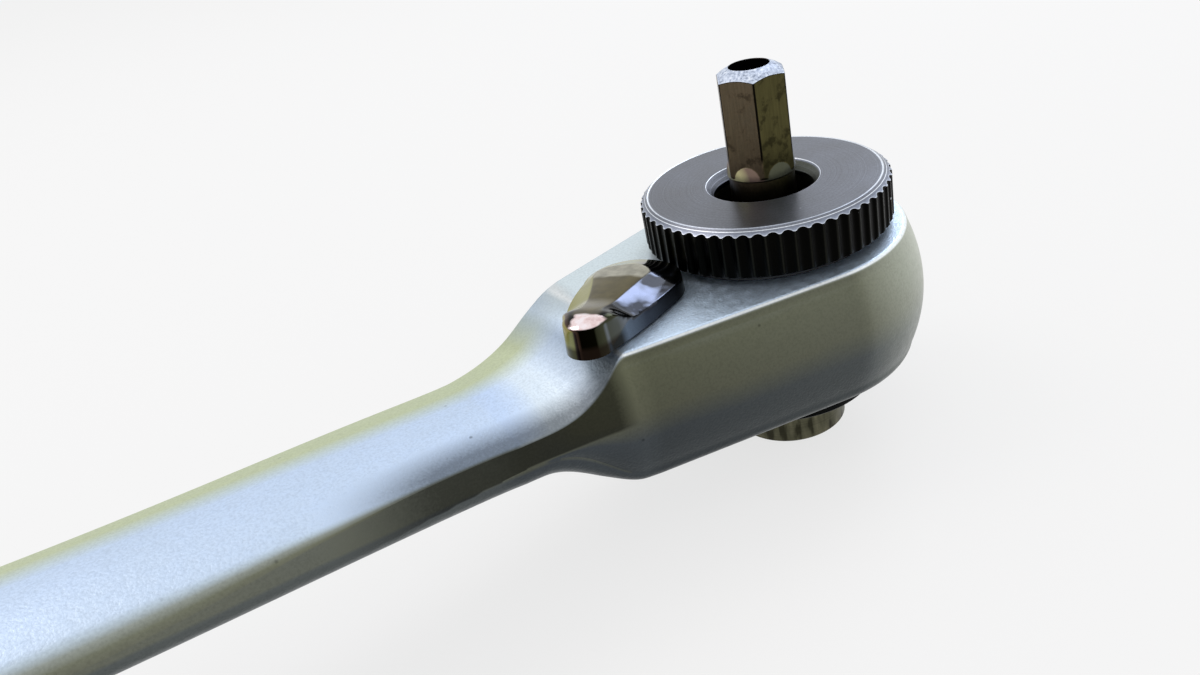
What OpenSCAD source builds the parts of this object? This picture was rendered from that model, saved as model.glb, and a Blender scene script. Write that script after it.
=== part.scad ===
// Bit ratchet: a fine toothed ratchet head on an angled flat handle, with a knurled thumb wheel,
// a reversing lever and a removable driver bit that stands up through the wheel.
// Millimetres. Z is the drive axis, the handle runs along minus X, and the origin is the centre
// of the lower face of the drive boss.

/* [Head] */
// Radius of the barrel shaped head wall at its widest
head_r = 12; // [9:0.1:20]
// Height of the head between its flat faces
head_h = 11.3; // [9:0.1:20]
// How much the head wall bulges between its edges
head_bulge = 1; // [0.2:0.05:2]
// Rounding of the upper edge
edge_top = 0.7; // [0.2:0.05:1.5]
// Rounding of the lower edge
edge_low = 1.1; // [0.2:0.05:2]
// Angle at which each flank closes towards the handle
flank_deg = 12.5; // [4:0.5:20]

/* [Handle] */
// Distance from the drive axis to the end of the handle
handle_end = 92; // [60:1:200]
// Half width of the handle at the neck
handle_w = 6.05; // [5:0.1:12]
// How much the half width grows towards the end
handle_flare = 0.5; // [0:0.1:2]
// Half thickness of the handle at its long edges
handle_t = 2.05; // [1.5:0.05:5]
// Rounding of the long edges
handle_edge = 1.9; // [0.5:0.1:4]
// Rounding of its upper long edges at the neck, where the flank cuts them off in a crease
neck_edge = 1; // [0.5:0.1:2]
// Rise of the handle towards its end, in degrees
handle_rise = 4.9; // [0:0.1:12]
// Where the upper slope down to the handle begins
ramp_top = 19.9; // [17:0.1:40]
// Where the lower step up to the handle begins
ramp_low = 19.7; // [17:0.1:40]
// Length of the slope between head and handle
ramp_len = 8.6; // [5:0.1:20]

/* [Thumb wheel] */
// Outer radius over the knurls
wheel_r = 10; // [8:0.1:16]
// Height of the wheel
wheel_h = 3.95; // [2.5:0.05:8]
// Number of straight knurls
knurls = 58; // [30:1:90]
// Depth of the knurls
knurl_depth = 0.2; // [0.1:0.02:0.8]
// Edge break above and below
wheel_chamfer = 0.6; // [0.2:0.05:1]
// Gap between the wheel and the head
wheel_gap = 0.55; // [0.3:0.05:1.5]

/* [Drive] */
// Radius over the gear teeth
gear_r = 7.7; // [6:0.1:12]
// Number of gear teeth
teeth = 72; // [36:12:96]
// Depth of the gear teeth
tooth_h = 0.5; // [0.3:0.05:1]
// Radius of the lower drive boss
boss_r = 4.85; // [4.7:0.05:8]
// How far the boss stands below the head
boss_drop = 6.8; // [3:0.1:12]
// Radius of the upper hub in the head
hub_r = 5.5; // [5:0.1:8]
// Radius of the hub spigot inside the wheel
spigot_r = 4.9; // [4.7:0.05:7]

/* [Cover] */
// Radius of the round bottom cover
cover_r = 9.6; // [8.6:0.1:14]
// How far the rim of the cover stands below the head
cover_lip = 0.3; // [0.2:0.05:2]
// Radius of the collar that the cover carries round the boss
collar_r = 7.7; // [7.2:0.1:12]
// How far the collar stands below the head
collar_drop = 2.6; // [0.6:0.1:6]
// How deep the cover sits in the head
cover_in = 1.8; // [1:0.1:3]

/* [Lever] */
// Distance of the lever pivot from the drive axis
lever_x = 14; // [12.5:0.1:24]
// Radius of the lever over its pivot
lever_r = 3.55; // [3:0.05:6]
// Radius of the rounded finger end
nub_r = 1.85; // [1:0.05:4]
// Radius of the swell between them
belly_r = 3.15; // [1.5:0.05:5]
// Distance from the pivot to the centre of the finger end
lever_arm = 7.7; // [5:0.1:14]
// Height of the lever over its pivot, above the head
lever_h = 2.2; // [1.5:0.05:6]
// Height of its finger end above the head
nub_h = 2.85; // [1.5:0.05:6]
// Lever angle each side of the handle axis
lever_deg = 34.5; // [20:0.5:45]
// Radius of the lever spindle
spindle_r = 2.5; // [2:0.05:4]

/* [Pawl] */
// Angle that the pawl rocks each side of the middle
pawl_deg = 7; // [4:0.5:10]
// Radius of the pawl pin
pawl_pin_r = 0.75; // [0.5:0.05:1.5]

/* [Bit] */
// Width across flats of the bit shank
bit_af = 6.3; // [5:0.05:8]
// Overall length of the bit
bit_len = 25; // [20:0.5:60]
// Width across flats of the bit tip
tip_af = 5; // [3:0.1:6]
// Length of the hex tip that shows above the wheel
tip_show = 9.3; // [4:0.1:20]
// Radius of the round neck between shank and tip
neck_r = 2.65; // [2:0.05:4]
// Radius of the pin hole in the tip
pin_hole_r = 1.55; // [0.5:0.05:2]
// Turn of the bit about the drive axis
bit_turn = -5.4; // [-30:0.1:30]

/* [Fits] */
// Radial play of parts that turn
run_clear = 0.05; // [0.02:0.01:0.1]
// Axial play of parts that turn
end_play = 0.05; // [0.02:0.01:0.2]
// Play of the bit in its hexagon, across flats
hex_play = 0.12; // [0.05:0.01:0.3]
// Radial room of a part that is pressed in
seat_clear = 0.01; // [0:0.005:0.05]

/* [Hidden] */
$fn = 96;
eps = 0.02;

// levels along the drive axis
z_low = boss_drop;
z_top = z_low + head_h;
z_mid = z_low + 0.518 * head_h;
z_wheel = z_top + wheel_gap;
z_crown = z_wheel + wheel_h;
roof = 3;
z_cover = z_low + cover_in;
z_roof = z_top - roof;
washer_t = 0.3;
z_gear = z_cover + 2 * end_play + washer_t;
gear_h = z_roof - z_gear - 2 * end_play - washer_t;
z_pocket = z_cover + 0.9;
wheel_web = 1.2;
chamfer_h = 0.75 * wheel_chamfer;
z_spigot = z_crown - wheel_web;

// round parts of the drive
pocket_r = gear_r + 0.45;
socket_af = bit_af + hex_play;
socket_rc = socket_af / sqrt(3);
bit_rc = bit_af / sqrt(3);
tip_rc = tip_af / sqrt(3);
bore_r = 4;
mouth_deep = 0.8;
mouth_wide = 0.55;
z_bit = z_crown + tip_show - bit_len;
z_tip = z_crown + tip_show;
shank_len = 9.5;
neck_show = 0.8;
z_neck = z_crown + neck_show;
shoulder_r = neck_r + 0.12;
cap_h = 0.86;
stop_t = 0.8;
clip_wire = 0.3;
clip_grip = 0.02;
clip_mid = bit_rc - clip_grip + clip_wire;
groove_r = clip_mid + clip_wire + 0.04;
z_clip_hi = z_bit + 3.6;
z_clip_lo = (z_bit - stop_t) / 2;
ring_wire = 0.3;
z_ring = (z_wheel + z_spigot) / 2 + 0.4;
seal_wire = 0.4;
z_hub_seal = z_roof + roof * 0.5;

// lever and pawl
lever_gap = 0.15;
z_lever = z_top + lever_gap;
stub_r = 1.6;
stub_h = 1.5;
neck_in = 1.9;
neck_h = 1.3;
chamber_r = spindle_r + 0.85;
z_lever_seal = z_roof + roof * 0.55;
snap_r = spindle_r + 0.55;
snap_t = 0.4;
pawl_x = gear_r + 1.5;
pawl_play = 0.1;
z_pawl = z_pocket + pawl_play;
pawl_h = z_roof - z_pawl - pawl_play;
pawl_reach = 5.55;
pawl_room_r = 6.45;
mesh_gap = 0.1;
plunger_r = 0.8;
plunger_tip = lever_x - pawl_x - 1.45;
plunger_gap = 0.12;
z_plunger = (z_pocket + z_roof) / 2;
detent_x = lever_x + 3.75;
detent_r = 0.6;
detent_play = 0.08;
detent_deep = 2.5;
track_deep = 0.32;
ball_up = 0.24;

// Small helpers.
function lerp(a, b, t) = a + (b - a) * t;
function clamp(t) = max(0, min(1, t));
function ease(t) = clamp(t) * clamp(t) * (3 - 2 * clamp(t));

// A ring of round wire about Z.
module wire_ring(mid_r, wire_r, z) {
  translate([0, 0, z])
    rotate_extrude()
      translate([mid_r, 0])
        circle(r = wire_r, $fn = 24);
}

// A flat ring about Z.
module flat_ring(r_out, r_in, h, z) {
  translate([0, 0, z])
    difference() {
      cylinder(r = r_out, h = h);
      translate([0, 0, -1])
        cylinder(r = r_in, h = h + 2);
    }
}

// A hexagonal prism that stands on z, with a corner at the bit's turn.
module hex_prism(af, z, h) {
  translate([0, 0, z])
    rotate([0, 0, bit_turn])
      linear_extrude(height = h)
        circle(r = af / sqrt(3), $fn = 6);
}

// The body.
// Half width of the outline at x, for the part behind the tangent point: the flank closes at
// its angle and runs smoothly into the handle.
tangent_x = -head_r * sin(flank_deg);
function flank_w(x) = (head_r + x * sin(flank_deg)) / cos(flank_deg);
function grip_w(x) = handle_w + handle_flare * clamp((-x - 30) / (handle_end - 30));
function soft_max(a, b, s) = (a + b + sqrt((a - b) * (a - b) + s * s)) / 2;
// The neck is a little waisted, and its upper edges are cut off by the flank at a crease.
waist = 0.3;
crease_deg = 30;
function along_neck(x, n) = 1 - ease((-x - 32) / n);
function waist_at(x) = waist * ease((-x - 18) / 5) * along_neck(x, 26);
function plan_w(x) = soft_max(flank_w(x), grip_w(x), 0.5) - waist_at(x);
function edge_at(x) = lerp(handle_edge, neck_edge, along_neck(x, 26));
function crease_at(x) = crease_deg * along_neck(x, 20);
end_len = 6.2;
end_w = plan_w(-handle_end + end_len);
arc_n = 13;
ramp_n = 14;
grip_n = 7;
end_n = 8;
ramp_x0 = -ramp_top + 1.2;
ramp_x1 = -ramp_top - ramp_len - 1.6;
half_loop = concat(
  [for (i = [0 : arc_n]) let(a = (90 + flank_deg) * i / arc_n) [head_r * cos(a), head_r * sin(a)]],
  [for (i = [1 : 5]) let(x = lerp(tangent_x, ramp_x0, i / 5)) [x, plan_w(x)]],
  [for (i = [1 : ramp_n]) let(x = lerp(ramp_x0, ramp_x1, i / ramp_n)) [x, plan_w(x)]],
  [for (i = [1 : grip_n]) let(x = lerp(ramp_x1, -handle_end + end_len, i / grip_n)) [x, plan_w(x)]],
  [for (i = [1 : end_n]) let(a = 90 * i / end_n)
    [-handle_end + end_len - end_len * sin(a), i == end_n ? 0 : end_w * pow(cos(a), 0.8)]]);
last = len(half_loop) - 1;
// mirrored neighbour across the centre line, for the normals at the two end points
function loop_at(i) = i < 0 ? [half_loop[-i].x, -half_loop[-i].y]
  : i > last ? [half_loop[2 * last - i].x, -half_loop[2 * last - i].y] : half_loop[i];
function inward(i) = let(d = loop_at(i + 1) - loop_at(i - 1)) [-d.y, d.x] / norm(d);

// How far the section has changed from head to handle at x, above and below.
// The upper slope begins in a short curve.
ramp_soft = 0.13;
function soft_start(t) = t <= -ramp_soft ? 0
  : t >= ramp_soft ? min(t, 1) : pow(t + ramp_soft, 2) / (4 * ramp_soft);
function fall_top(x) = 1 - pow(1 - soft_start((-x - ramp_top) / ramp_len), 1.65);
function fall_low(x) = ease((-x - ramp_low) / (ramp_len * 0.84));
function grip_mid(x) = z_mid + tan(handle_rise) * max(0, -x - ramp_top - ramp_len + 0.3);
function level_top(x) = lerp(z_top, grip_mid(x) + handle_t, fall_top(x));
function level_low(x) = lerp(z_low, grip_mid(x) - handle_t, fall_low(x));
crown = 0.82;
tilt_in = 18;
fil_n = 4;
bar_n = 3;
ring_n = 2 * (fil_n + bar_n) + 3;
// One point of the side wall's profile, from the upper inner edge (0) to the lower inner edge
// (ring_n minus 1): how far it lies inside the outline, and its level.
function wall_half(k, r, bulge, h, a_top, a_cut) = k <= fil_n
  ? let(a = lerp(a_top, a_cut, k / fil_n)) [bulge + r * (cos(a_cut) - cos(a)), h - r * (1 - sin(a))]
  : let(u = 1 - (k - fil_n) / (bar_n + 1)) [bulge * u * u, (h - r * (1 - sin(a_cut))) * u];
function wall_mix(k, x, up) = let(
    t = up ? fall_top(x) : fall_low(x),
    lev = up ? level_top(x) : level_low(x),
    mid = grip_mid(x),
    span = up ? z_top - z_mid : z_mid - z_low,
    head = wall_half(k, up ? edge_top : edge_low, head_bulge, span, 90, 0),
    grip = wall_half(k, up ? edge_at(x) : handle_edge, 0, handle_t, 90 - tilt_in,
      up ? crease_at(x) : 0),
    q = lerp(head[1] / span, grip[1] / handle_t, t))
  [lerp(head[0], grip[0], t), mid + (lev - mid) * q];
function wall(k, x) = k <= fil_n + bar_n + 1 ? wall_mix(k, x, true)
  : wall_mix(ring_n - 1 - k, x, false);
function wall_pt(i, k, side) = let(p = half_loop[i], n = inward(i), w = wall(k, p.x))
  [p.x + n.x * w[0], side * (p.y + n.y * w[0]), w[1]];
// The faces above and below span the outline and are crowned over the handle.
cap_n = 6;
function cap_pt(i, j, up) = let(
    k = up ? 0 : ring_n - 1,
    p = wall_pt(i, k, 1),
    s = 1 - 2 * j / cap_n,
    t = up ? fall_top(p.x) : fall_low(p.x),
    c = crown * t * min(1, p.y / handle_w * 1.25))
  [p.x, p.y * s, p.z + (up ? 1 : -1) * c * (1 - s * s)];

loop_n = 2 * last;
side_pts = [for (k = [0 : ring_n - 1]) for (j = [0 : loop_n - 1])
  j <= last ? wall_pt(j, k, 1) : wall_pt(loop_n - j, k, -1)];
cap_rows = last - 1;
function cap_block(up) = [for (i = [1 : last - 1]) for (j = [1 : cap_n - 1]) cap_pt(i, j, up)];
body_pts = concat(side_pts, cap_block(true), cap_block(false));
function side_id(k, j) = k * loop_n + (j + loop_n) % loop_n;
function cap_id(i, j, up) = i == 0 || i == last || j == 0 || j == cap_n
  ? side_id(up ? 0 : ring_n - 1, j == 0 || i == 0 || i == last ? i : loop_n - i)
  : ring_n * loop_n + (up ? 0 : cap_rows * (cap_n - 1)) + (i - 1) * (cap_n - 1) + j - 1;
side_tris = [for (k = [0 : ring_n - 2]) for (j = [0 : loop_n - 1]) for (h = [0, 1])
  h == 0 ? [side_id(k, j), side_id(k, j + 1), side_id(k + 1, j + 1)]
  : [side_id(k, j), side_id(k + 1, j + 1), side_id(k + 1, j)]];
function flip(t, f) = f ? [t[0], t[2], t[1]] : t;
function cap_tris(up) = [for (i = [0 : last - 1]) for (j = [0 : cap_n - 1]) for (h = [0, 1])
  let(a = cap_id(i, j, up), b = cap_id(i, j + 1, up), c = cap_id(i + 1, j + 1, up),
    d = cap_id(i + 1, j, up), t = h == 0 ? [a, b, c] : [a, c, d])
  if (t[0] != t[1] && t[1] != t[2] && t[0] != t[2]) flip(t, !up)];

module body_shell() {
  polyhedron(points = body_pts, faces = concat(side_tris, cap_tris(true), cap_tris(false)));
}

module body() {
  color([0.72, 0.74, 0.78])
    difference() {
      body_shell();
      // recess for the cover, gear pocket and hub bore
      translate([0, 0, z_low - 1])
        cylinder(r = cover_r + seat_clear, h = cover_in + 1);
      translate([0, 0, z_cover - eps])
        cylinder(r = pocket_r, h = z_roof - z_cover + eps);
      translate([0, 0, z_roof - 1])
        cylinder(r = hub_r + run_clear, h = roof + 2);
      // pawl room and spindle chamber, milled sideways from the gear pocket
      translate([-pawl_x, 0, z_pocket])
        cylinder(r = pawl_room_r, h = z_roof - z_pocket);
      translate([-lever_x, 0, z_pocket])
        cylinder(r = chamber_r, h = z_roof - z_pocket);
      translate([-pawl_x, 0, z_cover - eps])
        cylinder(r = pawl_pin_r + seat_clear, h = z_roof - z_cover + 1.6, $fn = 48);
      // spindle bearing above and below
      translate([-lever_x, 0, z_roof - 1])
        cylinder(r = spindle_r + run_clear, h = roof + 2);
      translate([-lever_x, 0, z_pocket - stub_h - 0.1])
        cylinder(r = stub_r + run_clear, h = stub_h + 1, $fn = 48);
      // detent hole under the lever
      translate([-detent_x, 0, z_top - detent_deep])
        cylinder(r = detent_r + detent_play, h = detent_deep + 1, $fn = 48);
    }
}

// The cover and the rings of the housing.
seal_seat = cover_in * 0.5;
module cover() {
  color([0.08, 0.08, 0.09])
    difference() {
      union() {
        translate([0, 0, z_low - cover_lip])
          cylinder(r1 = cover_r - 0.15, r2 = cover_r, h = 0.15);
        translate([0, 0, z_low - cover_lip + 0.15])
          cylinder(r = cover_r, h = cover_in + cover_lip - 0.15);
        // collar round the boss, with a broken edge
        translate([0, 0, z_low - collar_drop])
          cylinder(r1 = collar_r - 0.1, r2 = collar_r, h = 0.1);
        translate([0, 0, z_low - collar_drop + 0.1])
          cylinder(r = collar_r, h = collar_drop - 0.1);
      }
      cylinder(r = boss_r + run_clear, h = z_top);
      wire_ring(cover_r, seal_wire, z_low + seal_seat);
      // holes for a pin spanner
      for (a = [90, 270])
        rotate([0, 0, a])
          translate([(collar_r + boss_r) / 2, 0, z_low - collar_drop - 1])
            cylinder(r = 0.75, h = 2.5, $fn = 32);
    }
}

module cover_seal() {
  color([0.05, 0.05, 0.05])
    intersection() {
      wire_ring(cover_r, seal_wire - 0.02, z_low + seal_seat);
      cylinder(r = cover_r, h = z_top);
    }
}

module gear_washer_lower() {
  color([0.8, 0.8, 0.82])
    flat_ring(pocket_r - 0.25, boss_r + 0.15, washer_t, z_cover + end_play);
}

module gear_washer_upper() {
  color([0.8, 0.8, 0.82])
    flat_ring(gear_r - tooth_h - 0.2, hub_r + 0.15, washer_t, z_roof - end_play - washer_t);
}

module wheel_washer() {
  color([0.06, 0.06, 0.06])
    flat_ring(wheel_r - 1.1, hub_r + 0.3, wheel_gap - 2 * end_play, z_top + end_play);
}

// The drive.
// Outline of the gear, grown by g for the cut that the pawl teeth come from. A tooth gap
// lies on each side of the X axis alike, so both pawl ends mesh the same way.
module gear_outline(g) {
  polygon([for (i = [0 : teeth - 1]) for (q = [[-0.42, 0], [-0.08, 1], [0.08, 1], [0.42, 0]])
    let(a = (i + q[0]) * 360 / teeth, r = gear_r - tooth_h * (1 - q[1]) + g)
    [r * cos(a), r * sin(a)]]);
}

module drive_gear() {
  color([0.45, 0.44, 0.38])
    difference() {
      union() {
        cylinder(r1 = boss_r - 0.12, r2 = boss_r, h = 0.12);
        translate([0, 0, 0.12])
          cylinder(r = boss_r, h = z_gear - 0.12 + eps);
        translate([0, 0, z_gear])
          linear_extrude(height = gear_h)
            gear_outline(0);
        translate([0, 0, z_gear + gear_h - eps])
          cylinder(r = hub_r, h = z_wheel - z_gear - gear_h + eps);
        translate([0, 0, z_wheel - eps])
          cylinder(r = spigot_r, h = z_spigot - z_wheel + eps);
      }
      hex_prism(socket_af, -1, z_bit + shank_len + 1.5);
      translate([0, 0, z_bit + shank_len + 0.5 - eps])
        cylinder(r = bore_r, h = z_crown);
      // lead in, stop groove and the two clip grooves
      translate([0, 0, -eps])
        cylinder(r1 = socket_rc + 0.25, r2 = socket_rc - 0.35, h = 0.6);
      translate([0, 0, z_bit - stop_t - 0.02])
        cylinder(r = groove_r, h = stop_t + 0.04);
      wire_ring(groove_r - clip_wire - 0.04, clip_wire + 0.05, z_clip_hi);
      wire_ring(groove_r - clip_wire - 0.04, clip_wire + 0.05, z_clip_lo);
      // grooves outside for the seal and the wheel's ring
      wire_ring(hub_r, seal_wire, z_hub_seal);
      wire_ring(spigot_r, ring_wire + 0.02, z_ring);
    }
}

module hub_seal() {
  color([0.05, 0.05, 0.05])
    intersection() {
      wire_ring(hub_r, seal_wire - 0.02, z_hub_seal);
      cylinder(r = hub_r, h = z_top);
    }
}

// Knurled outline: narrow straight ribs with wide round bottomed grooves between them.
module knurl_outline() {
  polygon([for (i = [0 : knurls - 1])
    for (q = [[-0.5, 0], [-0.26, 0.3], [-0.12, 1], [0.12, 1], [0.26, 0.3]])
      let(a = (i + q[0]) * 360 / knurls, r = wheel_r - knurl_depth * (1 - q[1]))
      [r * cos(a), r * sin(a)]]);
}

module thumb_wheel() {
  color([0.12, 0.12, 0.13])
    difference() {
      intersection() {
        translate([0, 0, z_wheel])
          linear_extrude(height = wheel_h)
            knurl_outline();
        union() {
          translate([0, 0, z_wheel])
            cylinder(r1 = wheel_r - 0.4, r2 = wheel_r + 0.05, h = 0.45);
          translate([0, 0, z_wheel + 0.45 - eps])
            cylinder(r = wheel_r + 0.05, h = wheel_h - 0.45 - chamfer_h + 2 * eps);
          translate([0, 0, z_crown - chamfer_h])
            cylinder(r1 = wheel_r, r2 = wheel_r - wheel_chamfer, h = chamfer_h);
        }
      }
      translate([0, 0, z_wheel - 1])
        cylinder(r = spigot_r + seat_clear, h = z_spigot - z_wheel + 1);
      translate([0, 0, z_wheel])
        cylinder(r = bore_r, h = wheel_h + 1);
      translate([0, 0, z_crown - mouth_deep])
        cylinder(r1 = bore_r, r2 = bore_r + mouth_wide, h = mouth_deep + eps);
      wire_ring(spigot_r, ring_wire + 0.02, z_ring);
    }
}

module wheel_ring() {
  color([0.6, 0.6, 0.62])
    wire_ring(spigot_r, ring_wire, z_ring);
}

module stop_ring() {
  color([0.6, 0.6, 0.62])
    flat_ring(groove_r - 0.03, 2.4, stop_t, z_bit - stop_t - 0.01);
}

// Split spring rings that grip the corners of a bit.
module split_ring(z) {
  translate([0, 0, z])
    rotate([0, 0, 20])
      rotate_extrude(angle = 320)
        translate([clip_mid, 0])
          circle(r = clip_wire, $fn = 20);
}

module bit_clip_upper() {
  color([0.7, 0.7, 0.72])
    split_ring(z_clip_hi);
}

module bit_clip_lower() {
  color([0.7, 0.7, 0.72])
    split_ring(z_clip_lo);
}

// The bit.
module bit() {
  color([0.35, 0.33, 0.28])
    difference() {
      union() {
        intersection() {
          hex_prism(bit_af, z_bit, shank_len);
          union() {
            translate([0, 0, z_bit])
              cylinder(r1 = bit_rc - 0.7, r2 = bit_rc + 0.05, h = 0.75);
            translate([0, 0, z_bit + 0.75 - eps])
              cylinder(r = bit_rc + 0.05, h = shank_len - 1.45 + 2 * eps);
            translate([0, 0, z_bit + shank_len - 0.7])
              cylinder(r1 = bit_rc + 0.05, r2 = neck_r - 0.1, h = 0.7 + eps);
          }
        }
        // round neck, and its ball shoulder that shows through the flats as half discs
        translate([0, 0, z_bit + shank_len - 1])
          cylinder(r = neck_r, h = z_neck - z_bit - shank_len + 1);
        translate([0, 0, z_neck])
          intersection() {
            sphere(r = shoulder_r);
            translate([0, 0, -0.1])
              cylinder(r = shoulder_r + 1, h = shoulder_r);
          }
        // hexagon with a turned cap, which cuts its corners lower than its flats
        intersection() {
          hex_prism(tip_af, z_neck - 0.1, z_tip - z_neck + 0.1);
          union() {
            translate([0, 0, z_neck - 0.1])
              cylinder(r1 = neck_r - 0.05, r2 = tip_rc + 0.02, h = 0.3);
            translate([0, 0, z_neck + 0.2 - eps])
              cylinder(r = tip_rc + 0.02, h = z_tip - cap_h - z_neck - 0.2 + 2 * eps);
            translate([0, 0, z_tip - cap_h])
              cylinder(r1 = tip_rc + 0.02, r2 = pin_hole_r + 0.08, h = cap_h);
          }
        }
      }
      // notches in the shank corners for the clip
      wire_ring(clip_mid + 0.02, clip_wire + 0.06, z_clip_hi);
      // pin hole in the tip
      translate([0, 0, z_tip - 3.6])
        cylinder(r = pin_hole_r, h = 4);
    }
}

// The pawl.
// The gear as the pawl sees it when that end is in mesh: turned about the pawl pin.
module gear_seen(turn) {
  translate([-pawl_x, 0])
    rotate([0, 0, turn])
      translate([pawl_x, 0])
        gear_outline(mesh_gap);
}

// The plunger's sweep as the pawl sees it at each limit.
module plunger_seen(turn) {
  translate([-pawl_x, 0])
    rotate([0, 0, turn])
      translate([pawl_x - lever_x, 0])
        circle(r = plunger_tip + plunger_gap, $fn = 96);
}

module pawl_blank() {
  x_tip = -pawl_x + pawl_reach * 0.57;
  x_back = -lever_x + spindle_r;
  half = [[-gear_r * 0.8, 0], [x_tip, pawl_reach * 0.9], [-pawl_x + pawl_reach * 0.4, pawl_reach],
    [-pawl_x + pawl_reach * 0.08, pawl_reach - 0.35], [x_back, pawl_reach * 0.5]];
  polygon(concat(half, [for (i = [4 : -1 : 1]) [half[i].x, -half[i].y]]));
}

module pawl_outline() {
  difference() {
    pawl_blank();
    gear_seen(pawl_deg);
    gear_seen(-pawl_deg);
    circle(r = gear_r + 0.12, $fn = 144);
    plunger_seen(pawl_deg);
    plunger_seen(-pawl_deg);
    translate([-pawl_x, 0])
      circle(r = pawl_pin_r + run_clear, $fn = 48);
  }
}

module pawl() {
  color([0.5, 0.5, 0.5])
    translate([-pawl_x, 0, z_pawl])
      rotate([0, 0, -pawl_deg])
        linear_extrude(height = pawl_h)
          translate([pawl_x, 0])
            pawl_outline();
}

module pawl_pin() {
  color([0.75, 0.75, 0.77])
    translate([-pawl_x, 0, z_cover + end_play])
      cylinder(r = pawl_pin_r, h = z_roof - z_cover + 1.4, $fn = 48);
}

// The lever.
// Places its children at the lever pivot, turned to the lever's position in the photograph:
// the finger end then points along minus X of the children.
module at_lever() {
  translate([-lever_x, 0, 0])
    rotate([0, 0, lever_deg])
      children();
}

// A slab between two rounded ends, with a swell between them: p, m and q are the lower radius,
// upper radius and height at the pivot, the swell and the finger end.
module lever_slab(p, m, q, z) {
  hull() {
    translate([0, 0, z])
      cylinder(r1 = p[0], r2 = p[1], h = p[2], $fn = 40);
    translate([-lever_arm * 0.4, 0, z])
      cylinder(r1 = m[0], r2 = m[1], h = m[2], $fn = 40);
    translate([-lever_arm, 0, z])
      cylinder(r1 = q[0], r2 = q[1], h = q[2], $fn = 32);
  }
}

lever_wall = 1.3;
nub_wall = 2;
module lever() {
  color([0.35, 0.34, 0.32])
    at_lever()
      difference() {
        union() {
          lever_slab([lever_r, lever_r - 0.1, lever_wall], [belly_r, belly_r - 0.1, lever_wall],
            [nub_r, nub_r - 0.05, nub_wall], z_lever);
          lever_slab([lever_r - 0.1, lever_r - 1.6, lever_h - lever_gap - lever_wall + eps],
            [belly_r - 0.1, belly_r - 1.6, lever_h - lever_gap - lever_wall + eps],
            [nub_r - 0.05, nub_r - 0.05, nub_wall - lever_wall + eps],
            z_lever + lever_wall - eps);
          // domed top of the finger end
          lever_slab([1, 1, 0.03], [1, 1, 0.03],
            [nub_r - 0.05, nub_r - 1, nub_h - lever_gap - nub_wall + eps],
            z_lever + nub_wall - eps);
        }
        // socket for the spindle and the track of the detent ball
        translate([0, 0, z_lever - 1])
          cylinder(r = neck_in + seat_clear, h = neck_h + 1.02, $fn = 48);
        rotate([0, 0, 180 - lever_deg - 9])
          translate([0, 0, z_lever - eps])
            rotate_extrude(angle = 2 * lever_deg + 18)
              translate([detent_x - lever_x - 0.55, 0])
                square([1.1, track_deep + eps]);
      }
}

module lever_spindle() {
  color([0.6, 0.6, 0.6])
    at_lever()
      difference() {
        union() {
          translate([0, 0, z_pocket - stub_h])
            cylinder(r = stub_r, h = stub_h + 0.2, $fn = 48);
          translate([0, 0, z_pocket + end_play])
            cylinder(r = spindle_r, h = z_lever - z_pocket - end_play);
          translate([0, 0, z_lever - eps])
            cylinder(r = neck_in, h = neck_h, $fn = 48);
        }
        wire_ring(spindle_r, seal_wire, z_lever_seal);
        flat_ring(spindle_r + 1, spindle_r - 0.5, snap_t + 0.04, z_roof - end_play - snap_t - 0.02);
        // plunger hole, from the side that faces the pawl
        translate([-spindle_r * 0.6, 0, z_plunger])
          rotate([0, 90, 0])
            cylinder(r = plunger_r + run_clear, h = spindle_r * 2, $fn = 48);
      }
}

module lever_seal() {
  color([0.05, 0.05, 0.05])
    at_lever()
      intersection() {
        wire_ring(spindle_r, seal_wire - 0.02, z_lever_seal);
        cylinder(r = spindle_r, h = z_top);
      }
}

module lever_snap_ring() {
  color([0.65, 0.65, 0.67])
    at_lever()
      flat_ring(snap_r, spindle_r - 0.48, snap_t, z_roof - end_play - snap_t);
}

module plunger() {
  color([0.7, 0.7, 0.72])
    at_lever()
      translate([0, 0, z_plunger])
        rotate([0, 90, 0])
          union() {
            translate([0, 0, spindle_r * 0.45])
              cylinder(r = plunger_r, h = plunger_tip - plunger_r - spindle_r * 0.45, $fn = 48);
            translate([0, 0, plunger_tip - plunger_r])
              sphere(r = plunger_r, $fn = 48);
          }
}

// One unbroken coil about X from x0, of round wire, as rings of six sides.
module coil(r, wire, pitch, turns, x0) {
  per = 8;
  n = turns * per;
  pts = [for (i = [0 : n]) for (j = [0 : 5])
    let(a = 360 * i / per, b = 60 * j, q = r + wire * cos(b))
    [x0 + pitch * i / per + wire * sin(b), q * cos(a), q * sin(a)]];
  ends = [[for (j = [0 : 5]) j], [for (j = [5 : -1 : 0]) n * 6 + j]];
  sides = [for (i = [0 : n - 1]) for (j = [0 : 5]) for (h = [0, 1])
    let(a = i * 6 + j, b = i * 6 + (j + 1) % 6, c = b + 6, d = a + 6)
    h == 0 ? [a, c, b] : [a, d, c]];
  polyhedron(points = pts, faces = concat(ends, sides));
}

module plunger_spring() {
  color([0.75, 0.75, 0.77])
    at_lever()
      translate([0, 0, z_plunger])
        coil(plunger_r - 0.18, 0.13, 0.7, 3, -spindle_r * 0.6 + 0.16);
}

module detent_ball() {
  color([0.85, 0.85, 0.87])
    translate([-detent_x, 0, z_top + ball_up - detent_r])
      sphere(r = detent_r, $fn = 48);
}

module detent_spring() {
  color([0.75, 0.75, 0.77])
    translate([-detent_x, 0, z_top - detent_deep])
      rotate([0, -90, 0])
        coil(detent_r - 0.14, 0.11, 0.52, 2, 0.14);
}

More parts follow.
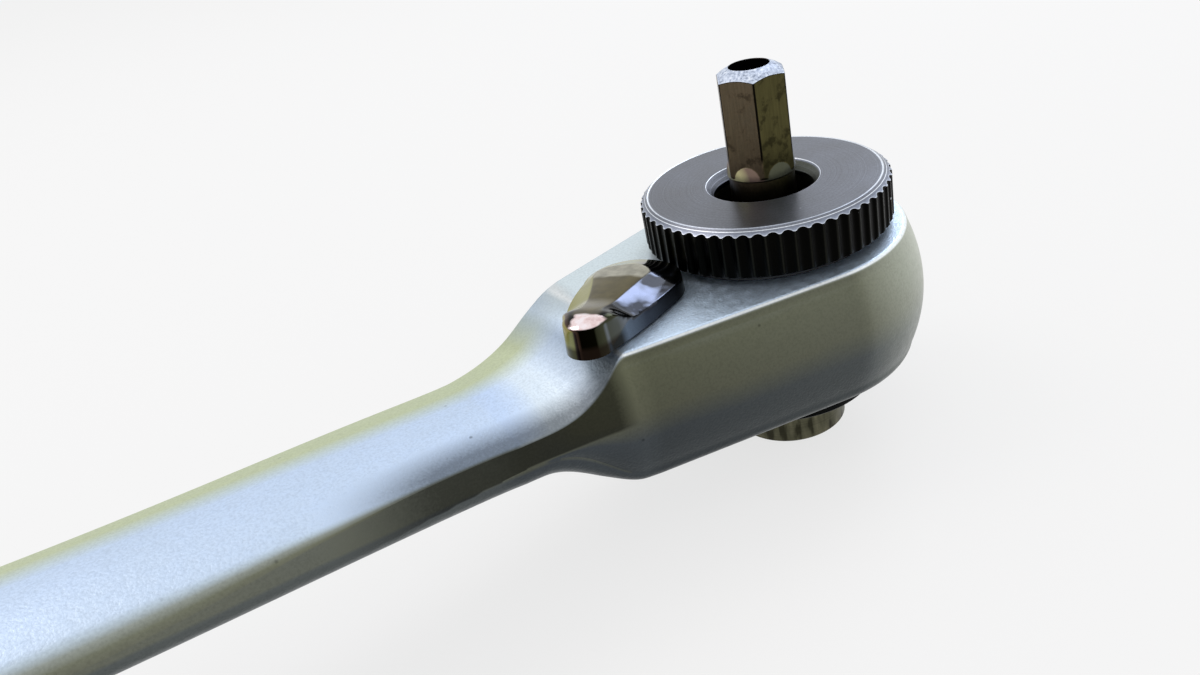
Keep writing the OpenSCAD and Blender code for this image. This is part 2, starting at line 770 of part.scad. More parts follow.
body();
cover();
cover_seal();
gear_washer_lower();
gear_washer_upper();
drive_gear();
hub_seal();
thumb_wheel();
wheel_washer();
wheel_ring();
stop_ring();
bit_clip_upper();
bit_clip_lower();
bit();
pawl();
pawl_pin();
lever();
lever_spindle();
lever_seal();
lever_snap_ring();
plunger();
plunger_spring();
detent_ball();
detent_spring();
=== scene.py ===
"""Looks of the bit ratchet: satin chrome body, black knurled thumb wheel, dark chrome lever,
worn tool steel bit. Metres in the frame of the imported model: Z is the drive axis, the handle
runs along minus X, and the origin is the centre of the drive boss's lower face."""
import math
import bpy
import numpy as np
from mathutils import Matrix, Vector


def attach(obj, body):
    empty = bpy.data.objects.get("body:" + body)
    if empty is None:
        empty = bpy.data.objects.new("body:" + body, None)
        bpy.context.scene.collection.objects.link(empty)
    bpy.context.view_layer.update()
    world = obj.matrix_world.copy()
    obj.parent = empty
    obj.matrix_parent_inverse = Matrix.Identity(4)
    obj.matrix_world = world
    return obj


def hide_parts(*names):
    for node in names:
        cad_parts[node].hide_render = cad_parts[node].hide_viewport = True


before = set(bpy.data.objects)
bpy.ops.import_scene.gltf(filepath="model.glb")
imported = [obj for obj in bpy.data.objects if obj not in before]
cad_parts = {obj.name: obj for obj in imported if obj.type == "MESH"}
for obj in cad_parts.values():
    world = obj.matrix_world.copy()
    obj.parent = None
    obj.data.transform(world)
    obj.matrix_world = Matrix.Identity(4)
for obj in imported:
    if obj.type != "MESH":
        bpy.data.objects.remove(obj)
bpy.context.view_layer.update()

MM = 0.001
scene = bpy.context.scene

# Small helpers for shapes.

def clamp(t):
    """Limits a value to the range from zero to one."""
    return np.clip(t, 0.0, 1.0)


def ease(t):
    """A smooth step: three times t squared less twice t cubed, with t limited to its range."""
    t = clamp(t)
    return t * t * (3 - 2 * t)


def mix(a, b, t):
    """The value at a share t of the way from a to b."""
    return a + (b - a) * t


def soft_min(p, q, width):
    """The smaller of two values, rounded over the given width where they cross."""
    return 0.5 * (p + q - np.sqrt((p - q) ** 2 + width * width))


def new_piece(name, points, faces):
    """Makes an object from points in millimetres and lists of faces."""
    mesh = bpy.data.meshes.new(name)
    mesh.from_pydata((np.asarray(points, float) * MM).tolist(), [], faces)
    mesh.validate()
    mesh.update()
    piece = bpy.data.objects.new(name, mesh)
    scene.collection.objects.link(piece)
    return piece


def grid_faces(rows, cols, close_cols=False, flip=False):
    """Quads of a grid of rows by cols points, row after row; a closed grid joins its last column
    to its first."""
    i, j = np.meshgrid(np.arange(rows - 1), np.arange(cols - (not close_cols)), indexing="ij")
    j2 = (j + 1) % cols
    quads = np.stack([i * cols + j, i * cols + j2, (i + 1) * cols + j2, (i + 1) * cols + j], -1)
    quads = quads.reshape(-1, 4)
    return quads[:, ::-1] if flip else quads


def carried_round(rows, angle):
    """Points of a surface carried round Z, row after row: each row starts with its radii and its
    heights at the angles."""
    r = np.array([row[0] for row in rows])
    z = np.array([row[1] for row in rows])
    return np.stack([r * np.cos(angle), r * np.sin(angle), z], -1).reshape(-1, 3)


def smooth_by_angle(piece, degrees):
    """Shades a piece smooth, but keeps each edge sharper than the angle crisp."""
    piece.data.polygons.foreach_set("use_smooth", np.ones(len(piece.data.polygons), bool))
    piece.data.set_sharp_from_angle(angle=math.radians(degrees))


def mark(piece, name, values):
    """Stores one number for each point of a piece, for its material to read."""
    layer = piece.data.attributes.new(name, "FLOAT", "POINT")
    layer.data.foreach_set("value", np.asarray(values, np.float32).ravel())


def places(piece):
    """The points of a piece in millimetres."""
    flat = np.empty(len(piece.data.vertices) * 3, np.float32)
    piece.data.vertices.foreach_get("co", flat)
    return flat.reshape(-1, 3) / MM


def seat(piece, body, slot, *nodes):
    """Lets a piece ride on a body and hides the solids that it stands for. The name of its
    finish is not used.
    """
    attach(piece, body)
    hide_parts(*nodes)


def turned(name, profile, steps=128):
    """A solid of revolution about Z: the closed profile of radius and height pairs is carried
    round in equal steps. Its first and last points lie on the axis, and each closes in a fan."""
    r, z = np.array(profile, float).T
    a = 2 * np.pi * np.arange(steps) / steps
    inner = np.stack([r[1:-1, None] * np.cos(a), r[1:-1, None] * np.sin(a),
                      np.repeat(z[1:-1, None], steps, 1)], -1)
    count = len(inner)
    points = [inner.reshape(-1, 3), [[0, 0, z[0]]], [[0, 0, z[-1]]]]
    faces = grid_faces(count, steps, close_cols=True).tolist()
    ring = np.arange(steps)
    after = (ring + 1) % steps
    tip = np.full(steps, count * steps)
    low = (count - 1) * steps
    faces += np.stack([tip, after, ring], 1).tolist()
    faces += np.stack([tip + 1, low + ring, low + after], 1).tolist()
    return new_piece(name, np.concatenate(points), faces)


# The forged body.

# head: radius, height, inset of its barrelled wall, levels, and where the wall stands widest
HEAD_R, HEAD_H, BULGE = 12.0, 11.3, 1.0
Z_LOW, MID_SHARE = 6.8, 0.518
Z_TOP = Z_LOW + HEAD_H
Z_MID = Z_LOW + MID_SHARE * HEAD_H
EDGE_TOP, EDGE_LOW = 0.45, 1.1
FLANK = math.radians(12.5)
# handle: half width and its flare, half thickness, edge radius and tilt, crown, rounded end
GRIP_W, FLARE, FLARE_X, GRIP_T = 6.05, 0.5, 30, 2.05
GRIP_EDGE, TILT_IN = 1.9, 18.0
CROWN, CROWN_RUN = 0.82, 4
END, END_LEN, END_BEND = 92.0, 6.2, 0.8
RISE, RISE_LEAD = math.tan(math.radians(4.9)), 0.3
# ramps between them, and how softly flank and handle melt into each other in plan
RAMP_TOP, RAMP_LOW, RAMP_LEN, LOW_SHARE = 19.9, 19.7, 8.6, 0.84
MELT = 0.5
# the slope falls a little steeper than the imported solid's, and starts sooner on the far side
FAR_SLOPE, FAR_SOFT, FAR_BEND = 19.1, 0.32, 2.7
NEAR_SLOPE, NEAR_SOFT, NEAR_BEND = 20.0, 0.07, 3.6
# neck: its tight creased edge, its waist, the lengths over which they run out, and the finer
# edge of the head just before the slope
NECK_X, NECK_EDGE, NECK_LEN = 32, 0.35, 26
CREASE, CREASE_LEN = 30.0, 20
WAIST, WAIST_X, WAIST_LEN = 0.3, 18, 5
HEEL_EDGE, HEEL_X, HEEL_LEN = 0.3, 19.2, 1.5
# the skin is drawn in by this factor across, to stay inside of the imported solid
SLIM = 0.9983
# rows round a fillet, down a barrelled wall, in a side wall from edge to edge, and across
FILLET_N, BARREL_N, CAP_N = 14, 12, 28
RING_N = 2 * (FILLET_N + BARREL_N) + 3


def along_neck(x, length):
    """One at the neck, and eased to nothing over a length of the handle."""
    return 1 - ease((-x - NECK_X) / length)


def slope_share(x, start, soft, bend):
    """How far the slope has fallen: a straight rise from zero to one that begins in a short
    parabola, then bent by a power so that the fall is steep at first and runs out softly."""
    t = (-x - start) / RAMP_LEN
    curve = (t + soft) ** 2 / (4 * soft)
    line = np.where(t <= -soft, 0, np.where(t >= soft, np.minimum(t, 1), curve))
    return 1 - (1 - line) ** bend


def plan_width(x):
    """Half width of the outline behind the nose: the flank closes in a straight line and runs
    into the almost parallel handle along a smooth maximum of the two widths, less a slight
    eased waist at the neck."""
    flank = (HEAD_R + x * math.sin(FLANK)) / math.cos(FLANK)
    grip = GRIP_W + FLARE * clamp((-x - FLARE_X) / (END - FLARE_X))
    waist = WAIST * ease((-x - WAIST_X) / WAIST_LEN) * along_neck(x, NECK_LEN)
    return 0.5 * (flank + grip + np.sqrt((flank - grip) ** 2 + MELT ** 2)) - waist


def body_outline():
    """Half of the plan outline from the nose to the handle's end: an arc round the drive axis,
    the straight flank from its tangent point, the handle, and a rounded end whose width falls
    as a power of the cosine. Its points lie closest together along the ramps."""
    arc_n, flank_n, ramp_n, grip_n, end_n = 56, 32, 68, 80, 36
    a = (np.pi / 2 + FLANK) * np.arange(arc_n + 1) / arc_n
    xs = [HEAD_R * np.cos(a)]
    ys = [HEAD_R * np.sin(a)]
    ramp_from, ramp_to = -RAMP_TOP + 1.2, -RAMP_TOP - RAMP_LEN - 1.6
    stops = [-HEAD_R * math.sin(FLANK), ramp_from, ramp_to, -END + END_LEN]
    for x0, x1, n in zip(stops[:-1], stops[1:], (flank_n, ramp_n, grip_n)):
        x = x0 + (x1 - x0) * np.arange(1, n + 1) / n
        xs.append(x)
        ys.append(plan_width(x))
    a = np.pi / 2 * np.arange(1, end_n + 1) / end_n
    y = plan_width(stops[-1]) * np.cos(a).clip(0) ** END_BEND
    y[-1] = 0
    xs.append(stops[-1] - END_LEN * np.sin(a))
    ys.append(y)
    return np.concatenate(xs), np.concatenate(ys)


def inward_normals(x, y):
    """Unit normals of the half outline: each is square to the chord between the point's
    neighbours, which are mirrored past the nose and past the handle's end."""
    xm = np.concatenate([[x[1]], x, [x[-2]]])
    ym = np.concatenate([[-y[1]], y, [-y[-2]]])
    chord = np.stack([xm[2:] - xm[:-2], ym[2:] - ym[:-2]], 1)
    chord /= np.linalg.norm(chord, axis=1)[:, None]
    return np.stack([-chord[:, 1], chord[:, 0]], 1)


def wall_profile(k, radius, bulge, height, top_deg, cut_deg=0.0):
    """Inset and height of row k of the side wall's upper half: a fillet of the given radius from
    top_deg down to cut_deg, where the wall meets it at a crease, then a barrel wall whose inset
    grows with the square of its height."""
    cut = np.radians(cut_deg)
    if k <= FILLET_N:
        a = np.radians(mix(top_deg, cut_deg, k / FILLET_N))
        return bulge + radius * (np.cos(cut) - np.cos(a)), height - radius * (1 - np.sin(a))
    u = 1 - (k - FILLET_N) / (BARREL_N + 1)
    return bulge * u * u, (height - radius * (1 - np.sin(cut))) * u


def side_wall(x, y, fall_top, fall_low):
    """One side wall of the body, in rings from its upper edge to its lower one. Each point of
    the outline carries the wall's section, moved inwards along the outline's normal, and the
    section changes from the barrel of the head to the round edged handle by the share that
    the ramp above or below has fallen. The upper edge is tight and creased at the neck, and
    grows round along the handle."""
    inward = inward_normals(x, y)
    mid = Z_MID + RISE * np.maximum(0, -x - RAMP_TOP - RAMP_LEN + RISE_LEAD)
    head_edge = mix(EDGE_TOP, HEEL_EDGE, ease((-x - HEEL_X) / HEEL_LEN))
    grip_edge = mix(GRIP_EDGE, NECK_EDGE, along_neck(x, NECK_LEN))
    crease = CREASE * along_neck(x, CREASE_LEN)
    rings = []
    for k in range(RING_N):
        up = k <= FILLET_N + BARREL_N + 1
        row = k if up else RING_N - 1 - k
        fall = fall_top if up else fall_low
        level = mix(Z_TOP, mid + GRIP_T, fall) if up else mix(Z_LOW, mid - GRIP_T, fall)
        span = Z_TOP - Z_MID if up else Z_MID - Z_LOW
        head = wall_profile(row, head_edge if up else EDGE_LOW, BULGE, span, 90)
        grip = wall_profile(row, grip_edge if up else GRIP_EDGE, 0, GRIP_T, 90 - TILT_IN,
                            crease if up else 0.0)
        inset = mix(head[0], grip[0], fall)
        share = mix(head[1] / span, grip[1] / GRIP_T, fall)
        rings.append(np.stack([x + inward[:, 0] * inset, y + inward[:, 1] * inset,
                               mid + (level - mid) * share], 1))
    return np.array(rings)


def closing_rows(far, near, high, rim, start, up):
    """Points and triangles that close the skin above or below. Each row runs straight from the
    far edge to the near one, crowned by a parabola of its own height. Its two ends are points
    of the rim, and at the nose and at the handle's end the row shrinks to one point."""
    s = np.linspace(0, 1, CAP_N + 1)[:, None]
    cap = mix(far[:, None], near[:, None], s)
    cap[..., 2] += high[:, None] * 4 * (s * (1 - s))[:, 0]
    last = len(far) - 1
    inner = cap[1:last, 1:CAP_N]
    names = np.empty((last + 1, CAP_N + 1), int)
    names[1:last, 1:CAP_N] = start + np.arange(inner[..., 0].size).reshape(inner.shape[:2])
    names[:, 0] = rim[:last + 1]
    names[:, -1] = rim[(len(rim) - np.arange(last + 1)) % len(rim)]
    names[0] = rim[0]
    names[last] = rim[last]
    a, b, c, d = names[:-1, :-1], names[:-1, 1:], names[1:, 1:], names[1:, :-1]
    tri = np.concatenate([np.stack([a, b, c], -1).reshape(-1, 3),
                          np.stack([a, c, d], -1).reshape(-1, 3)])
    real = (tri[:, 0] != tri[:, 1]) & (tri[:, 1] != tri[:, 2]) & (tri[:, 0] != tri[:, 2])
    tri = tri[real]
    return inner.reshape(-1, 3), (tri[:, ::-1] if up else tri).tolist()


def forged_skin():
    """The forged body as one closed skin: a far and a near side wall that meet at the nose and
    at the handle's end, closed above and below. Above, the slope falls sooner on the far side
    than on the near one. The crown over the handle grows as the ramp falls, and runs out
    towards the handle's end along a parabola."""
    x, y = body_outline()
    fall_far = slope_share(x, FAR_SLOPE, FAR_SOFT, FAR_BEND)
    fall_near = slope_share(x, NEAR_SLOPE, NEAR_SOFT, NEAR_BEND)
    fall_low = ease((-x - RAMP_LOW) / (RAMP_LEN * LOW_SHARE))
    far = side_wall(x, y, fall_far, fall_low) * [1, SLIM, 1]
    near = side_wall(x, y, fall_near, fall_low) * [1, -SLIM, 1]
    side = np.concatenate([far, near[:, 1:-1][:, ::-1]], 1)
    loop_n = side.shape[1]
    ids = np.arange(RING_N * loop_n).reshape(RING_N, loop_n)
    points = [side.reshape(-1, 3)]
    faces = grid_faces(RING_N, loop_n, close_cols=True, flip=True).tolist()
    start = RING_N * loop_n
    for up in (True, False):
        row = 0 if up else -1
        high = CROWN * (0.5 * (fall_far + fall_near) if up else -fall_low)
        to_end = far[row][:, 0] - far[row][-1, 0]
        high = high * (1 - (1 - clamp(to_end / CROWN_RUN)) ** 2)
        inner, tri = closing_rows(far[row], near[row], high, ids[row], start, up)
        points.append(inner)
        faces += tri
        start += len(inner)
    return new_piece("forged_body", np.concatenate(points), faces)


def bored(piece, cutters):
    """Takes each cutter's volume out of a piece and keeps the result as its mesh."""
    for cutter in cutters:
        cut = piece.modifiers.new(cutter.name, "BOOLEAN")
        cut.operation = "DIFFERENCE"
        cut.solver = "EXACT"
        cut.object = cutter
    bpy.context.view_layer.update()
    ready = piece.evaluated_get(bpy.context.evaluated_depsgraph_get())
    mesh = bpy.data.meshes.new_from_object(ready)
    piece.modifiers.clear()
    piece.data = mesh
    for cutter in cutters:
        bpy.data.objects.remove(cutter)


def moved(piece, x):
    """Moves a cutter's mesh along X, in millimetres."""
    piece.data.transform(Matrix.Translation((x * MM, 0, 0)))
    return piece


# rooms of the mechanism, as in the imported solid
BELOW, ABOVE = 5, 19
COVER_SEAT_R, COVER_SEAT_TOP = 9.61, 8.6
GEAR_ROOM_R, ROOM_TOP, HUB_BORE_R = 8.15, 15.1, 5.55
PAWL_X, PAWL_ROOM_R, PAWL_LOW = 9.2, 6.45, 9.5
SPINDLE_X, SPINDLE_ROOM_R, SPINDLE_BORE_R = 14.0, 3.35, 2.55
SPINDLE_FOOT_R, SPINDLE_LOW = 1.65, 7.9
DETENT_X, DETENT_R, DETENT_LOW = 17.75, 0.68, 15.6
# levels that rooms share are set this far apart, so that no two cut faces coincide
APART = 0.01


def body_rooms():
    """Cutters for the bore with the cover's seat and the gear's room, the pawl's room behind
    it, the spindle's stepped room, and the detent's hole."""
    pawl_top = ROOM_TOP - APART
    spindle_foot = PAWL_LOW - APART
    spindle_top = ROOM_TOP - 2 * APART
    bore = turned("bore", [
        (0, BELOW), (COVER_SEAT_R, BELOW), (COVER_SEAT_R, COVER_SEAT_TOP),
        (GEAR_ROOM_R, COVER_SEAT_TOP), (GEAR_ROOM_R, ROOM_TOP), (HUB_BORE_R, ROOM_TOP),
        (HUB_BORE_R, ABOVE), (0, ABOVE)], 192)
    pawl_room = turned("pawl_room", [
        (0, PAWL_LOW), (PAWL_ROOM_R, PAWL_LOW), (PAWL_ROOM_R, pawl_top), (0, pawl_top)])
    spindle_room = turned("spindle_room", [
        (0, SPINDLE_LOW), (SPINDLE_FOOT_R, SPINDLE_LOW), (SPINDLE_FOOT_R, spindle_foot),
        (SPINDLE_ROOM_R, spindle_foot), (SPINDLE_ROOM_R, spindle_top),
        (SPINDLE_BORE_R, spindle_top), (SPINDLE_BORE_R, ABOVE), (0, ABOVE)])
    detent_hole = turned("detent_hole", [
        (0, DETENT_LOW), (DETENT_R, DETENT_LOW), (DETENT_R, ABOVE), (0, ABOVE)], 48)
    return [bore, moved(pawl_room, -PAWL_X), moved(spindle_room, -SPINDLE_X),
            moved(detent_hole, -DETENT_X)]


def mark_body(piece):
    """Marks for the body's colour. rim is one where the head's top edge leans by 48 degrees or
    so, and places a painted highlight. brink grows over the slope and the neck towards their near
    edge, and places a painted shade. offside is the place across the upper side, from minus one
    at the near edge to one at the far edge, where it places a painted reflection."""
    x, y, z = places(piece).T
    width = plan_width(x)
    above = z > Z_MID
    lean = np.degrees(np.arcsin(clamp(1 - (Z_TOP - z) / EDGE_TOP)))
    rim = clamp(1.7 - np.abs(lean - 48) / 10) * (lean > 1)
    mark(piece, "rim", rim * clamp((x + RAMP_TOP) / 0.6))
    brink = clamp(1.25 - (width + y) / 2.6) * clamp((-x - 19.6) / 1.5) * above
    mark(piece, "brink", brink * along_neck(x, 12))
    mark(piece, "offside", y / width * above)


forged_body = forged_skin()
bored(forged_body, body_rooms())
smooth_by_angle(forged_body, 24)
mark_body(forged_body)
seat(forged_body, "housing", "satin_chrome_steel", "body")


# The thumb wheel.

WHEEL_R, WHEEL_H, WHEEL_GAP = 10.0, 3.95, 0.55
Z_WHEEL = Z_TOP + WHEEL_GAP
Z_CROWN = Z_WHEEL + WHEEL_H
CHAMFER, CHAMFER_H, KNURLS, KNURL_DEPTH = 0.6, 0.45, 58, 0.2
# seat of the gear's spigot, and the bore and countersink above it
SPIGOT_R, SPIGOT_TOP, BORE_R, Z_SINK = 4.91, 21.4, 4.0, 21.74
RIB_HALF, RIB_CROWN, FOOT_BREAK = 0.12, 0.03, 0.3


def knurled_wheel():
    """The wheel as one closed surface carried round Z. Its outer radius follows the knurls:
    narrow ribs with a slightly crowned crest, and between them round grooves, whose depth is a
    power of one less the square of the place across.
    The chamfer is a cone, and its lower edge is where the cone meets the knurled wall, so it
    hangs lower on each rib and rises in an arch over each groove. Each row is a radius, a
    height and how far the black is bared, whose highest values paint highlight lines."""
    per = 20
    cols = KNURLS * per
    a = 2 * np.pi * np.arange(cols) / cols
    # from the middle of a groove at zero to the middle of a rib at a half
    p = np.abs((np.arange(cols) / per) % 1 - 0.5)
    groove = np.clip(1 - (p / (0.5 - RIB_HALF)) ** 2, 0, 1) ** 0.7
    crest = RIB_CROWN * clamp((0.5 - p) / RIB_HALF) ** 2
    out = WHEEL_R - KNURL_DEPTH * groove - np.where(groove > 0, 0, crest)
    inner = WHEEL_R - CHAMFER
    one = np.ones(cols)
    rows = [(r * one, z * one, 0 * one) for r, z in (
        (SPIGOT_R, Z_WHEEL), (SPIGOT_R, SPIGOT_TOP), (BORE_R, SPIGOT_TOP), (BORE_R, Z_SINK))]
    # countersink with its turned lines, out from the bore and up, the lines painted bright as
    # highlights
    for r, z, w in ((0, 0.02, 0.7), (0.04, 0.1, 0.75), (0.06, 0.13, 0.5), (0.2, 0.36, 0.5),
                    (0.22, 0.39, 0.85), (0.26, 0.44, 0.5), (0.52, 0.81, 0.55),
                    (0.535, 0.825, 1.0), (0.56, 0.85, 1.0)):
        rows.append(((BORE_R + r) * one, (Z_SINK + z) * one, w * one))
    rows.append(((BORE_R + 0.58) * one, Z_CROWN * one, 0.9 * one))
    # flat top out to the chamfer, with a fine turned line near its edge, painted as a highlight
    for r in (4.62, 5.2, 6.2, 7.2, 8.2, inner - 0.3):
        rows.append((r * one, Z_CROWN * one, 0.3 * one))
    for r, z, w in ((0.16, 0, 0.4), (0.12, 0.03, 1.0), (0.06, 0.03, 1.0), (0, 0, 0.9)):
        rows.append(((inner - r) * one, (Z_CROWN - z) * one, w * one))
    # bands of even width on the cone, one of them a painted highlight line, then its scalloped
    # edge, painted as a highlight, and down to the knurled wall
    for s, w in ((0.03, 0.5), (0.27, 0.42), (0.29, 1.0), (0.35, 1.0), (0.38, 0.5), (0.56, 0.55)):
        rows.append(((inner + s * CHAMFER) * one, (Z_CROWN - s * CHAMFER_H) * one, w * one))
    foot = Z_CROWN - (out - inner) * CHAMFER_H / CHAMFER
    low = Z_WHEEL + FOOT_BREAK
    # the ribs' crests are a shade lighter, by wear and a faint painted sheen
    wear_and_sheen = 0.05 * clamp(1 - (0.5 - p) / 0.1)
    rows.append((out - 0.035, foot + 0.026, 0.8 * one))
    rows.append((out - 0.006, foot + 0.005, one))
    rows.append((out, foot - 0.012, wear_and_sheen))
    for s in np.linspace(0, 1, 9)[1:-1]:
        rows.append((out, mix(foot - 0.06, low + 0.04, s), wear_and_sheen))
    rows.append((out, low * one, wear_and_sheen))
    rows.append((np.minimum(out, WHEEL_R - 0.1), (Z_WHEEL + FOOT_BREAK * 0.6) * one, 0 * one))
    rows.append((np.minimum(out, WHEEL_R - 0.4), Z_WHEEL * one, 0 * one))
    rows.append((7.5 * one, Z_WHEEL * one, 0 * one))
    n = len(rows)
    faces = grid_faces(n, cols, close_cols=True, flip=True)
    # the last row joins the first one along the wheel's lower face
    ring = np.arange(cols)
    after = (ring + 1) % cols
    last = (n - 1) * cols
    seam = np.stack([last + ring, last + after, after, ring], 1)[:, ::-1]
    piece = new_piece("knurled_wheel", carried_round(rows, a),
                      np.concatenate([faces, seam]).tolist())
    mark(piece, "wear_and_sheen", np.array([row[2] for row in rows]))
    return piece


wheel = knurled_wheel()
smooth_by_angle(wheel, 28)
seat(wheel, "drive", "black_wheel_steel", "thumb_wheel")


# The reversing lever.

LEVER_ARM, LEVER_DEG = 7.7, 34.5
LEVER_R, NUB_R, LEVER_GAP = 3.55, 1.85, 0.15
Z_LEVER = Z_TOP + LEVER_GAP
NEAR_SWELL, FAR_SWELL = 0.72, 2.1
# height of the bevel's foot over the pivot and at the finger end, and the plateau's height over
# the pivot, its slope, and its lift towards the finger end
RIM_LOW, RIM_HIGH, PLATEAU, CLIMB, LIFT = 1.24, 2.02, 2.05, 0.025, 0.46
# how steep the wall is, and the depth at which the bevel starts
WALL_STEEP, BEVEL_START = 16.0, 0.08


def lever_outline(arc, side):
    """Angle of the outline's normal and place along the spine, from zero at the pivot to one at
    the finger end, in the order pivot end, far flank, finger end, near flank."""
    lean = math.asin((LEVER_R - NUB_R) / LEVER_ARM)
    flank = math.pi / 2 + lean
    angle = np.concatenate([np.linspace(-flank, flank, arc * 2 + 1), np.full(side - 1, flank),
                            np.linspace(flank, 2 * math.pi - flank, arc + 1),
                            np.full(side - 1, 2 * math.pi - flank)])
    run = np.arange(1, side) / side
    t = np.concatenate([np.zeros(arc * 2 + 1), run, np.ones(arc + 1), 1 - run])
    return angle, t


def bevel_width(t, nx, ny):
    """Width of the bevel: a parabola along the near side and another along the far one, eased
    into each other by facing, widest where it looks at the wheel, and long over the front of
    the finger."""
    back = ease(np.where(t == 0, nx, 0))
    front = ease(np.where(t == 1, -nx, 0))
    near_wide = 2.3 - 0.25 * t - 1.0 * t * t
    far_wide = 0.9 + 3.4 * t - 3.2 * t * t
    return mix(mix(near_wide, far_wide, ease((ny + 0.6) / 1.2)), 2.3, back) + 0.65 * front


def lever_surface():
    """The lever round a spine between two centres. A point of the outline is reached from the
    spine along the outline's normal by the local radius, which shrinks towards the finger end
    and swells by a parabola between the ends; inner points lie at a share of it. The height
    over the base depends on the place along the spine and on the depth behind the outline: a
    steep wall, then a flat bevel that turns into a quarter ellipse round the finger end, and a
    plateau that climbs towards it. Soft minima round the edges between them."""
    arc = 44
    side = 60
    angle, t = lever_outline(arc, side)
    nx, ny = np.cos(angle), np.sin(angle)
    radius = (mix(LEVER_R, NUB_R, t) + NEAR_SWELL * (1 - t * t) * clamp(-ny) ** 2
              + FAR_SWELL * t * (1 - t) * clamp(ny) ** 2)
    # shares of the radius, close together where the form turns
    share = np.concatenate([[1.0, 0.995], np.linspace(0.985, 0.86, 16),
                            np.linspace(0.85, 0.36, 48), np.linspace(0.34, 0.02, 14)])
    along = t * LEVER_ARM - nx * radius * share[:, None]
    across = -ny * radius * share[:, None]
    depth = radius * (1 - share[:, None])
    rise = ease((along - 4.4) / 3.2)
    top = PLATEAU + CLIMB * along + LIFT * rise - 0.03 * across ** 2 * (1 - 0.5 * rise)
    rim = mix(RIM_LOW, RIM_HIGH, ease((along - 5.0) / 2.6))
    dome = ease((along - 5.6) / 1.8)
    climbed = (depth - BEVEL_START) / bevel_width(t, nx, ny)
    climbed = mix(climbed, np.sqrt(1 - (1 - clamp(climbed)) ** 2), dome)
    wall = depth * WALL_STEEP
    bevel = rim + (top - rim) * climbed
    slant = soft_min(wall, bevel, 0.1)
    height = np.maximum(soft_min(slant, top, 0.05), 0)
    height[0] = 0
    flat = ease((slant - top) / 0.08 + 0.6)
    sloped = ease((wall - bevel) / 0.12 + 0.5) * (1 - flat)
    turn = math.radians(LEVER_DEG)
    x = -SPINDLE_X - (along * math.cos(turn) - across * math.sin(turn))
    y = -(along * math.sin(turn) + across * math.cos(turn))
    points = np.stack([x, y, Z_LEVER + height], -1).reshape(-1, 3)
    n, cols = along.shape
    faces = grid_faces(n, cols, close_cols=True).tolist()
    # the base closes in a fan, the top in a strip of quads across the spine
    ring = np.arange(cols)
    after = (ring + 1) % cols
    points = np.concatenate([points, [points[:cols].mean(0)]])
    faces += np.stack([np.full(cols, n * cols), after, ring], 1).tolist()
    run = np.arange(arc + side + arc // 2 + 1)
    far_run = (n - 1) * cols + arc + run
    near_run = (n - 1) * cols + (arc - run) % cols
    strip = np.stack([far_run[:-1], far_run[1:], near_run[1:], near_run[:-1]], 1).tolist()
    strip[0] = strip[0][:3]
    strip[-1] = [strip[-1][0]] + strip[-1][2:]
    faces += strip
    piece = new_piece("lever_shell", points, faces)
    for name, values in (("flat", flat), ("sloped", sloped), ("along", along),
                         ("across", across)):
        mark(piece, name, np.append(values, 0))
    return piece


lever = lever_surface()
smooth_by_angle(lever, 50)
seat(lever, "lever", "dark_chrome", "lever")


# The bit.

Z_BIT, BIT_LEN, BIT_TURN = 6.9, 25.0, -5.4
Z_TIP = Z_BIT + BIT_LEN
SHANK_AF, SHANK_CORNER, TIP_AF, TIP_CORNER = 6.3, 3.6, 5.0, 2.86
GROOVE_Z, GROOVE_R, GROOVE_OUT = 10.5, 0.36, 3.66
SHANK_TOP, NECK_LOW, NECK_TOP = 15.7, 16.45, 23.45
NECK_R, BALL_R = 2.6, 2.73
CAP_LOW, CAP_FALL, CAP_SWELL = 31.16, 0.56, 0.07
HOLE_R, HOLE_DEEP = 1.57, 3.6


def hexagon_radius(angle, flats, corner):
    """Distance from the axis to a hexagon across the given flats at an angle, with each corner
    limited to a circle so that it is broken by a narrow round land."""
    local = (angle - math.radians(BIT_TURN)) % (math.pi / 3) - math.pi / 6
    return np.minimum(flats / 2 / np.cos(local), corner)


